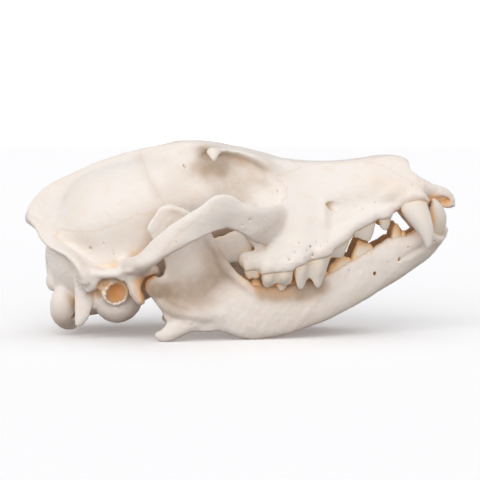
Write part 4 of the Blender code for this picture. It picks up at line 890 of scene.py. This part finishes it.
# Stains and painted shade of the jaw: path, radius, strength
jawStainsAndShade = {
    # stain and painted shadow of the arch in the masseter's hollow
    "masseter": (((-10, -35, 40), (-12, -34, 30), (-19, -35, 23), (-30, -37, 22)), 10.5, 0.95),
    # painted shadow of the upper teeth
    "underMolars": (((12, -30.6, 23), (20, -29.6, 22), (30, -28, 22.2), (40, -25.6, 25.4)), 4.8, 1.15),
    "molars": (((10, -28.6, 26), (34, -26, 28)), 3, 0.5),
    "front": (((88, -9, 51), (98, -7, 53)), 3.2, 0.6),
    # painted shade on the jaw's condyle
    "condyle": (((-43, -42.6, 27), (-38, -41, 25)), 4.2, 1),
}
# Painted glow on the jaw: path, radius, strength
jawPaintedGlow = {
    "behindMolars": (((8, -30, 26), (0, -30, 29)), 3, 0.5),
    "underMolars": (((13, -30.4, 24.2), (23, -29, 23.4)), 3, 0.34),
    "inside": (((50, -11.6, 35), (66, -7.6, 44), (78, -4.4, 49), (90, -3, 54)), 5, 0.9),
}


def wandering(points, wavelength, seed, reach):
    # Small shifts of the points, so that a straight seam wanders
    return np.stack([ripple(points, wavelength, seed + k) for k in range(3)], axis=1) * reach


def pitDistances(points, surface, pits):
    # The radius of each little hole, and every point's distance to where it meets the bone
    for x, y, z, radius in pits:
        place = surface.find_nearest(Vector((x, y, z)) * mm)[0] / mm
        yield radius, np.linalg.norm(points - np.array(place), axis=1)


def toothGap(points, teeth, every, reach):
    # Distance to the teeth, worked out only within reach of the box round them
    crowns = np.concatenate([readPoints(tooth)[::every] for tooth in teeth])
    finder = KDTree(len(crowns))
    for index, point in enumerate(crowns):
        finder.insert(point, index)
    finder.balance()
    gap = np.full(len(points), farOff)
    near = ((points > crowns.min(0) - reach) & (points < crowns.max(0) + reach)).all(1)
    for index in np.where(near)[0]:
        gap[index] = finder.find(points[index])[2]
    return gap


def carve(piece, relief, rough, seams, pits, teeth, seed):
    skin = boneSkin
    points = readPoints(piece)
    side = onRight(points)
    surface = searchTree(piece)
    lift = skin["coarse"] * ripple(points, skin["coarseLength"], seed)
    lift += skin["fine"] * ripple(points, skin["fineLength"], seed + 1)
    lift += marked(side, relief.values())
    bumps = ripple(points, skin["bumpLength"], seed + 7)
    bumps += skin["smallBump"] * ripple(points, skin["smallBumpLength"], seed + 8)
    lift += bumps * marked(side, rough)
    wander = wandering(side, skin["wanderLength"], seed + 2, skin["wander"])
    for path in seams.values():
        lift -= skin["seamDepth"] * bell(pathDistance(side + wander, laid(path, surface), 3), skin["seamRadius"])
    for radius, near in pitDistances(side, surface, pits):
        lift -= radius * skin["pitDepth"] * bell(near, radius * skin["pitWidth"])
    gap = toothGap(side, teeth, every=3, reach=4)
    lift -= skin["gumGroove"] * bell(gap, skin["gumWidth"])
    lift += skin["gumRim"] * bell(gap - skin["rimPlace"], skin["gumWidth"])
    writePoints(piece, points + readVectors(piece, "normal") * lift[:, None])


def surroundings(middle, sided):
    # One search tree of every piece, with the left side mirrored from the right
    corners, faces, start = [], [], 0
    for piece, ways in [(middle, (1,))] + [(piece, (1, -1)) for piece in sided]:
        points = readPoints(piece) * mm
        polygons = [tuple(p.vertices) for p in piece.data.polygons]
        for way in ways:
            corners += (points * (1, way, 1)).tolist()
            faces += [tuple(index + start for index in polygon) for polygon in polygons]
            start += len(points)
    return BVHTree.FromPolygons(corners, faces)


def shade(piece, surface, seed):
    # How deep each point lies in a hollow, and how much bone it faces, from rays cast out of it. The material paints
    # shade and glow from these
    points, normals = readPoints(piece), readVectors(piece, "normal")
    draw = np.random.default_rng(seed)
    count = boneShade["rays"]
    turns = (np.arange(count) + 0.5) * boneShade["goldenAngle"]
    height = np.sqrt(1 - (np.arange(count) + 0.5) / count)
    level = np.sqrt(1 - height ** 2)
    helper = np.where(np.abs(normals[:, :1]) < 0.8, np.array([[1.0, 0, 0]]), np.array([[0, 1.0, 0]]))
    across = np.cross(normals, helper)
    across /= np.linalg.norm(across, axis=1, keepdims=True) + 1e-9
    ahead = np.cross(normals, across)
    spin = draw.uniform(0, 2 * math.pi, len(points))
    hollow, inner = np.zeros(len(points)), np.zeros(len(points))
    reach, far = boneShade["reach"] * mm, boneShade["far"] * mm
    starts = (points + normals * boneShade["lift"]) * mm
    for index in range(len(points)):
        x = np.cos(turns + spin[index]) * level
        y = np.sin(turns + spin[index]) * level
        ways = x[:, None] * across[index] + y[:, None] * ahead[index] + height[:, None] * normals[index]
        near, wide = 0, 0
        for way in ways.tolist():
            distance = surface.ray_cast(starts[index], way, far)[3]
            if distance is not None:
                near += max(1 - distance / reach, 0)
                wide += 1 - distance / far
        hollow[index], inner[index] = near / count, wide / count
    writeValues(piece, "hollow", evenOut(piece, hollow, boneShade["hollowPasses"]))
    inner[inner > boneShade["buried"]] = 0   # a point inside another piece faces nothing that shows
    writeValues(piece, "inner", evenOut(piece, inner, boneShade["innerPasses"]))


def paint(piece, seams, stainsAndShade, paintedGlows, pits, teeth, seed):
    # Values that the material reads: seams, stains and painted shade, painted glow, little holes and the nearness of
    # teeth
    points, look = readPoints(piece), bonePaint
    side = onRight(points)
    facing = readVectors(piece, "normal") * np.where(points[:, 1:2] > 0, np.array([[1, -1, 1]]), 1)
    surface = searchTree(piece)
    wander = wandering(side, look["wanderLength"], seed + 2, look["wander"])
    seamSide = np.full(len(points), farOff)
    for path in seams.values():
        near = pathDistance(side + wander, laid(path, surface), look["seamReach"], facing)
        seamSide = np.where(np.abs(near) < np.abs(seamSide), near, seamSide)
    hole = np.zeros(len(points))
    for radius, near in pitDistances(side, surface, pits):
        hole = np.maximum(hole, bell(near, radius * look["pitWidth"]))
    values = {"seam": np.minimum(np.abs(seamSide), look["seamReach"]),
              "seamSide": np.clip(seamSide, -look["seamReach"], look["seamReach"]),
              "stainAndShade": marked(side, stainsAndShade.values()), "paintedGlow": marked(side, paintedGlows.values()), "hole": hole,
              "gum": np.minimum(toothGap(side, teeth, every=1, reach=look["gumReach"]), look["gumReach"])}
    for name, kept in values.items():
        writeValues(piece, name, kept)


def evenOut(piece, values, passes):
    pairs = np.empty(len(piece.data.edges) * 2, np.int32)
    piece.data.edges.foreach_get("vertices", pairs)
    a, b = pairs.reshape(-1, 2).T
    count = np.bincount(np.concatenate([a, b]), minlength=len(values)) + 1
    for _ in range(passes):
        total = values + np.bincount(a, values[b], len(values)) + np.bincount(b, values[a], len(values))
        values = total / count
    return values


# Scrolls of thin bone deep in the nose: each column's place, and the inputs of its nodes
noseScrolls = {
    "columns": {
        "back": {"at": (46, -4.7, 69.4), "Count": 2, "Spacing": 5.6, "Turns": 1.9, "Radius": 2.5, "Length": 9},
        "front": {"at": (53, -6, 71), "Count": 2, "Spacing": 7.4, "Turns": 2.2, "Radius": 3.3, "Length": 8}},
    "septum": ((40, -0.5, 62), (57, 0.5, 81)),   # low and high corner of the plate between them
    "thickness": 0.45, "grain": 0.34, "faces": 24000,
    # The scrolls get fixed hollow and inner values, so the material gives them painted shade and painted glow
    "values": {"hollow": 0.2, "inner": 0.5, "seam": 9, "seamSide": 9, "stainAndShade": 0, "paintedGlow": 0, "hole": 0, "gum": 20},
}


def scrollNodes():
    # A column of rolled plates: each plate's width follows a spiral, and its length runs along the nose
    group = bpy.data.node_groups.new("noseScrolls", "GeometryNodeTree")
    group.interface.new_socket("Geometry", in_out="OUTPUT", socket_type="NodeSocketGeometry")
    for name, kind in (("Count", "Int"), ("Spacing", "Float"), ("Turns", "Float"), ("Radius", "Float"),
                       ("Length", "Float"), ("Thickness", "Float"), ("Seed", "Int"), ("Material", "Material")):
        group.interface.new_socket(name, in_out="INPUT", socket_type="NodeSocket" + kind)
    given = group.nodes.new("NodeGroupInput").outputs
    offset = node(group, "ShaderNodeCombineXYZ", {"Z": given["Spacing"]}).outputs[0]
    column = node(group, "GeometryNodeMeshLine", {"Count": given["Count"], "Offset": offset}, mode="OFFSET")
    inner = times(group, given["Radius"], 0.22)
    spiral = node(group, "GeometryNodeCurveSpiral", {"Resolution": 20, "Rotations": given["Turns"],
                                                     "Start Radius": inner, "End Radius": given["Radius"],
                                                     "Height": 0.0})
    profile = node(group, "GeometryNodeCurvePrimitiveQuadrilateral", {"Width": given["Thickness"],
                                                                      "Height": given["Length"]})
    plate = node(group, "GeometryNodeCurveToMesh", {"Curve": spiral.outputs[0], "Profile Curve": profile.outputs[0],
                                                    "Fill Caps": True})
    lying = node(group, "GeometryNodeTransform", {"Geometry": plate.outputs[0],
                                                  "Rotation": (0, math.pi / 2, 0)})
    turn = node(group, "FunctionNodeRandomValue", {0: (-0.5, 0, 0), 1: (0.5, 0, 0), "Seed": given["Seed"]},
                data_type="FLOAT_VECTOR")
    placed = node(group, "GeometryNodeInstanceOnPoints", {"Points": column.outputs[0], "Instance": lying.outputs[0],
                                                          "Rotation": turn.outputs[0]})
    real = node(group, "GeometryNodeRealizeInstances", {"Geometry": placed.outputs[0]})
    coloured = node(group, "GeometryNodeSetMaterial", {"Geometry": real.outputs[0], "Material": given["Material"]})
    end = group.nodes.new("NodeGroupOutput")
    group.links.new(coloured.outputs[0], end.inputs["Geometry"])
    return group


def makeScrolls(material):
    group = scrollNodes()
    columns = []
    for seed, (name, spec) in enumerate(noseScrolls["columns"].items()):
        piece = newObject(name, bpy.data.meshes.new(name))
        rolled = piece.modifiers.new("scrolls", "NODES")
        rolled.node_group = group
        settings = {"Count": spec["Count"], "Turns": spec["Turns"], "Thickness": noseScrolls["thickness"] * mm,
                    "Seed": seed, "Material": material}
        settings |= {key: spec[key] * mm for key in ("Spacing", "Radius", "Length")}
        for socket in group.interface.items_tree:
            if socket.in_out == "INPUT":
                rolled[socket.identifier] = settings[socket.name]
        applied(piece)
        piece.data.transform(Matrix.Translation(Vector(spec["at"]) * mm))
        columns.append(piece)
    whole = withMirror(columns) + [box("septum", *noseScrolls["septum"])]
    made = thinned(grown("noseScrolls", whole, noseScrolls["grain"], 1), noseScrolls["faces"])
    for name, level in noseScrolls["values"].items():
        writeValues(made, name, np.full(len(made.data.vertices), level))
    return made


# Everything is shaped on the right side in the tables' millimetres, then shifted and mirrored

print("cranium: growing")
cranium = makeCranium()
print("jaw: growing")
jawRight = makeJaw()
print("teeth: shaping")
upper = {name: makeTooth("upper" + name, spec, -1) for name, spec in upperTeeth.items()}
lower = {name: makeTooth("lower" + name, spec, 1) for name, spec in lowerTeeth.items()}
upper["C"] = makeCanine("upperC", canines["upper"], -1)
lower["C"] = makeCanine("lowerC", canines["lower"], 1)
upperRow, lowerRow = list(upper.values()), list(lower.values())

print("bone: carving")
carve(cranium, cranialRelief, cranialRough, cranialSeams, cranialPits, upperRow, 11)
carve(jawRight, jawRelief, jawRough, {}, jawPits, lowerRow, 23)
thinned(cranium, faces["cranium"])
thinned(jawRight, faces["jaw"])

print("bone: painting")
paint(cranium, cranialSeams, cranialStainsAndShade, cranialPaintedGlow, cranialPits, upperRow, 5)
paint(jawRight, {}, jawStainsAndShade, jawPaintedGlow, jawPits, lowerRow, 7)
print("all: shading")
facedBone = surroundings(cranium, [jawRight, *upperRow, *lowerRow])
for seed, piece in enumerate([cranium, jawRight, *upperRow, *lowerRow]):
    shade(piece, facedBone, seed)
    piece.data.transform(Matrix.Translation((shiftX * mm, 0, 0)))

jawLeft = mirrored(jawRight, "jawLeft")
pieces = {"bone": [cranium, jawRight, jawLeft], "tooth": withMirror(upperRow + lowerRow)}


# Materials

def shader(name):
    made = bpy.data.materials.new(name)
    made.use_nodes = True
    return made, made.node_tree, made.node_tree.nodes["Principled BSDF"]


def node(tree, kind, sockets, **settings):
    made = tree.nodes.new(kind)
    for key, given in settings.items():
        setattr(made, key, given)
    for key, given in sockets.items():
        if isinstance(given, bpy.types.NodeSocket):
            tree.links.new(given, made.inputs[key])
        else:
            made.inputs[key].default_value = given
    return made


def value(tree, name):
    return node(tree, "ShaderNodeAttribute", {}, attribute_name=name).outputs["Fac"]


def millimetres(tree):
    place = node(tree, "ShaderNodeTexCoord", {}).outputs["Object"]
    return node(tree, "ShaderNodeVectorMath", {0: place, "Scale": 1 / mm}, operation="SCALE").outputs[0]


def noise(tree, place, size, detail=3, roughness=0.5):
    return node(tree, "ShaderNodeTexNoise", {"Vector": place, "Scale": 1 / size, "Detail": detail,
                                             "Roughness": roughness}).outputs["Fac"]


def span(tree, source, low, high, toLow=0, toHigh=1, kind="SMOOTHSTEP"):
    return node(tree, "ShaderNodeMapRange", {"Value": source, "From Min": low, "From Max": high, "To Min": toLow,
                                             "To Max": toHigh}, interpolation_type=kind).outputs["Result"]


def times(tree, a, b):
    return node(tree, "ShaderNodeMath", {0: a, 1: b}, operation="MULTIPLY").outputs[0]


def plus(tree, a, b):
    return node(tree, "ShaderNodeMath", {0: a, 1: b}, operation="ADD").outputs[0]


def tint(tree, share, base, colour):
    made = node(tree, "ShaderNodeMix", {0: share}, data_type="RGBA")
    for socket, given in ((made.inputs[6], base), (made.inputs[7], colour)):
        if isinstance(given, bpy.types.NodeSocket):
            tree.links.new(given, socket)
        else:
            socket.default_value = (*given, 1)
    return made.outputs[2]


def setValues(surface, values):
    for name, given in values.items():
        surface.inputs[name].default_value = given


def tinted(tree, colour, layers, look):
    # Each layer is a colour's name and its share
    for name, share in layers:
        colour = tint(tree, share, colour, look[name])
    return colour


def boneMaterial(name, look, gloss):
    made, tree, surface = shader(name)
    place = millimetres(tree)
    cloud, mottle, speckle = noise(tree, place, 24), noise(tree, place, 5, 4), noise(tree, place, 0.9, 3, 0.6)
    gum, inner, paintedGlow, hole = (value(tree, key) for key in ("gum", "inner", "paintedGlow", "hole"))
    hollow = plus(tree, value(tree, "hollow"), span(tree, mottle, 0.3, 0.7, -0.05, 0.05))
    deep = times(tree, span(tree, hollow, 0.42, 0.75), span(tree, gum, 0.4, 2.6, 0.3, 1))
    stainAndShade = times(tree, value(tree, "stainAndShade"), span(tree, mottle, 0.3, 0.62, 0.85, 1))
    line = node(tree, "ShaderNodeMath", {0: value(tree, "seamSide")}, operation="ABSOLUTE").outputs[0]
    seam = times(tree, span(tree, line, 0.1, 0.8, 0.22, 0), span(tree, value(tree, "seam"), 0.8, 1.6, 1, 0))
    colour = tint(tree, span(tree, cloud, 0.4, 0.66), look["cream"], look["ivory"])
    colour = tinted(tree, colour, (
        ("warm", span(tree, mottle, 0.5, 0.78, 0, 0.4)),
        # painted glow: orange on faces that see much other bone, for light through and between the bones
        ("paintedInnerGlow", span(tree, inner, 0.28, 0.6, 0, 0.8)),
        # painted shade and stain: tan where nearby bone hides much of the light
        ("tan", span(tree, hollow, 0.12, 0.42, 0, 0.7)),
        # painted shade and glow: amber deep in holes such as the ear hole, less near the teeth
        ("deepShadeAndGlow", deep),
        # stain and painted shade where the stain marks lie
        ("stainAndShade", span(tree, stainAndShade, 0.05, 1.1)),
        # painted glow: honey where the glow marks lie
        ("honey", span(tree, paintedGlow, 0, 1, kind="LINEAR")),
        ("seam", seam),
        ("pit", span(tree, hole, 0.25, 0.8, 0, 0.85)),
        ("gum", span(tree, gum, 0.2, 2.2, 0.22, 0)),
        ("speck", span(tree, speckle, 0.56, 0.74, 0, 0.3))), look)
    tree.links.new(colour, surface.inputs["Base Color"])
    tree.links.new(span(tree, mottle, 0.3, 0.7, 0.42, 0.6), surface.inputs["Roughness"])
    pores = node(tree, "ShaderNodeTexVoronoi", {"Vector": place, "Scale": 1 / 1.5}).outputs["Distance"]
    pitted = times(tree, span(tree, pores, 0.08, 0.26, 1, 0), span(tree, cloud, 0.45, 0.62))
    height = plus(tree, times(tree, speckle, 0.5), times(tree, pitted, -0.5))
    bump = node(tree, "ShaderNodeBump", {"Height": height, "Strength": 0.5, "Distance": 0.00012})
    tree.links.new(bump.outputs["Normal"], surface.inputs["Normal"])
    setValues(surface, gloss)
    return made


def enamelMaterial(name, look, gloss):
    made, tree, surface = shader(name)
    place = millimetres(tree)
    crown = plus(tree, value(tree, "crown"), span(tree, noise(tree, place, 2.4, 2), 0.3, 0.7, -0.6, 0.6))
    drawn = node(tree, "ShaderNodeVectorMath", {0: place, 1: (1, 1, 0.16)}, operation="MULTIPLY").outputs[0]
    streak = noise(tree, drawn, 0.7, 3, 0.6)
    colour = tint(tree, span(tree, crown, 1, 5), look["neck"], look["enamel"])
    colour = tinted(tree, colour, (
        ("root", span(tree, crown, -0.4, 1.2, 0.55, 0)),
        ("streak", span(tree, streak, 0.5, 0.72, 0, 0.3)),
        # painted glow: orange on tooth faces that see much other bone
        ("paintedInnerGlow", span(tree, value(tree, "inner"), 0.12, 0.36, 0, 0.9)),
        # painted shade: the root colour laid in hollows between cusps and teeth
        ("root", span(tree, value(tree, "hollow"), 0.42, 0.8, 0, 0.25)),
        ("tip", span(tree, crown, 7.5, 12, 0, 0.5))), look)
    tree.links.new(colour, surface.inputs["Base Color"])
    tree.links.new(span(tree, streak, 0.3, 0.7, 0.28, 0.42), surface.inputs["Roughness"])
    bump = node(tree, "ShaderNodeBump", {"Height": streak, "Strength": 0.25, "Distance": 0.00006})
    tree.links.new(bump.outputs["Normal"], surface.inputs["Normal"])
    setValues(surface, gloss)
    return made


# The inner glow, deep hole and honey colours are painted glow; the recess colour is painted shade and stain, the stain
# colour stain and painted shade
boneLook = {"cream": (0.86, 0.8, 0.745), "ivory": (0.845, 0.77, 0.7), "warm": (0.83, 0.7, 0.55),
            "tan": (0.76, 0.54, 0.34), "deepShadeAndGlow": (0.74, 0.38, 0.13), "stainAndShade": (0.5, 0.38, 0.28),
            "paintedInnerGlow": (0.9, 0.62, 0.36), "honey": (0.8, 0.44, 0.18), "pit": (0.4, 0.28, 0.18),
            "seam": (0.7, 0.52, 0.34), "gum": (0.76, 0.6, 0.42), "speck": (0.76, 0.64, 0.51)}
boneGloss = {"Subsurface Weight": 0.15, "Subsurface Radius": (1, 0.6, 0.35), "Subsurface Scale": 0.0015,
             "Specular IOR Level": 0.42}
# The glow colour is painted glow, and the root colour serves also as painted shade in hollows
enamelLook = {"enamel": (0.8, 0.735, 0.66), "neck": (0.82, 0.73, 0.62), "root": (0.72, 0.55, 0.36),
              "streak": (0.78, 0.7, 0.6), "tip": (0.76, 0.72, 0.68), "paintedInnerGlow": (0.9, 0.58, 0.28)}
enamelGloss = {"Subsurface Weight": 0.15, "Subsurface Radius": (1, 0.8, 0.6), "Subsurface Scale": 0.001}
bone = boneMaterial("bone", boneLook, boneGloss)
enamel = enamelMaterial("enamel", enamelLook, enamelGloss)

print("nose: scrolls")
scrolls = makeScrolls(bone)
scrolls.data.transform(Matrix.Translation((shiftX * mm, 0, 0)))
pieces["bone"].append(scrolls)

for slot, material in (("bone", bone), ("tooth", enamel)):
    for piece in pieces[slot]:
        piece.data.materials.clear()
        piece.data.materials.append(material)
        piece.data.shade_smooth()
        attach(piece, "root")
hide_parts("braincase", "snout", "zygomatic_arch_left", "zygomatic_arch_right")
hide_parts("mandible_right")
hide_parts("mandible_left")
print("pieces:", len(pieces["bone"]) + len(pieces["tooth"]))


# Floor, light and camera
studio = {"floorRadius": 4, "floorGlow": 0.13,
          # camera: distance and target in metres, elevation in degrees
          "distance": 0.85, "elevation": 4.5, "target": (0.0007, 0, 0.0463), "lens": 127.5,
          # height of the look (0 straight down, 1 straight up), colour of the light from there
          "dome": ((0.0, (0.085, 0.046, 0.027)), (0.42, (0.16, 0.108, 0.08)), (0.48, (1.32, 1.3, 1.29)),
                   (0.58, (1.26, 1.26, 1.26)), (0.7, (0.4, 0.4, 0.41)), (1.0, (0.4, 0.4, 0.42))),
          # place, breadth in degrees, strength
          "lights": (("key", (-0.26, -1.0, 0.56), 80, 1.75), ("top", (0.25, 0.25, 1.0), 60, 0.42))}


def makeFloor():
    work = bmesh.new()
    bmesh.ops.create_circle(work, cap_ends=True, segments=96, radius=studio["floorRadius"])
    floor = finished("floor", work)
    floor.visible_diffuse = False
    pale, _, surface = shader("paleFloor")
    setValues(surface, {"Base Color": (0.98, 0.98, 0.98, 1), "Roughness": 0.9, "Specular IOR Level": 0,
                        "Emission Color": (1, 1, 1, 1), "Emission Strength": studio["floorGlow"]})
    floor.data.materials.append(pale)


def makeLight():
    world = bpy.data.worlds.new("studio")
    world.use_nodes = True
    tree = world.node_tree
    way = node(tree, "ShaderNodeTexCoord", {}).outputs["Generated"]
    height = node(tree, "ShaderNodeSeparateXYZ", {0: way}).outputs["Z"]
    ramp = node(tree, "ShaderNodeValToRGB", {"Fac": span(tree, height, -1, 1, kind="LINEAR")})
    bands = ramp.color_ramp.elements
    while len(bands) < len(studio["dome"]):
        bands.new(0.5)
    for band, (place, colour) in zip(bands, studio["dome"]):
        band.position = place
        band.color = (*colour, 1)
    tree.links.new(ramp.outputs["Color"], tree.nodes["Background"].inputs["Color"])
    bpy.context.scene.world = world
    for name, place, breadth, strength in studio["lights"]:
        lamp = bpy.data.lights.new(name, "SUN")
        lamp.angle, lamp.energy = math.radians(breadth), strength
        light = newObject(name, lamp)
        light.location = place
        light.rotation_euler = Vector(place).to_track_quat("Z", "Y").to_euler()


def makeCamera():
    lens = bpy.data.cameras.new("camera")
    lens.lens = studio["lens"]
    lens.clip_start = 0.01
    camera = newObject("camera", lens)
    rise = math.radians(studio["elevation"])
    target = Vector(studio["target"])
    camera.location = target + studio["distance"] * Vector((0, -math.cos(rise), math.sin(rise)))
    camera.rotation_euler = (target - camera.location).to_track_quat("-Z", "Y").to_euler()
    bpy.context.scene.camera = camera
    bpy.context.scene.view_settings.view_transform = "Standard"


makeFloor()
makeLight()
makeCamera()
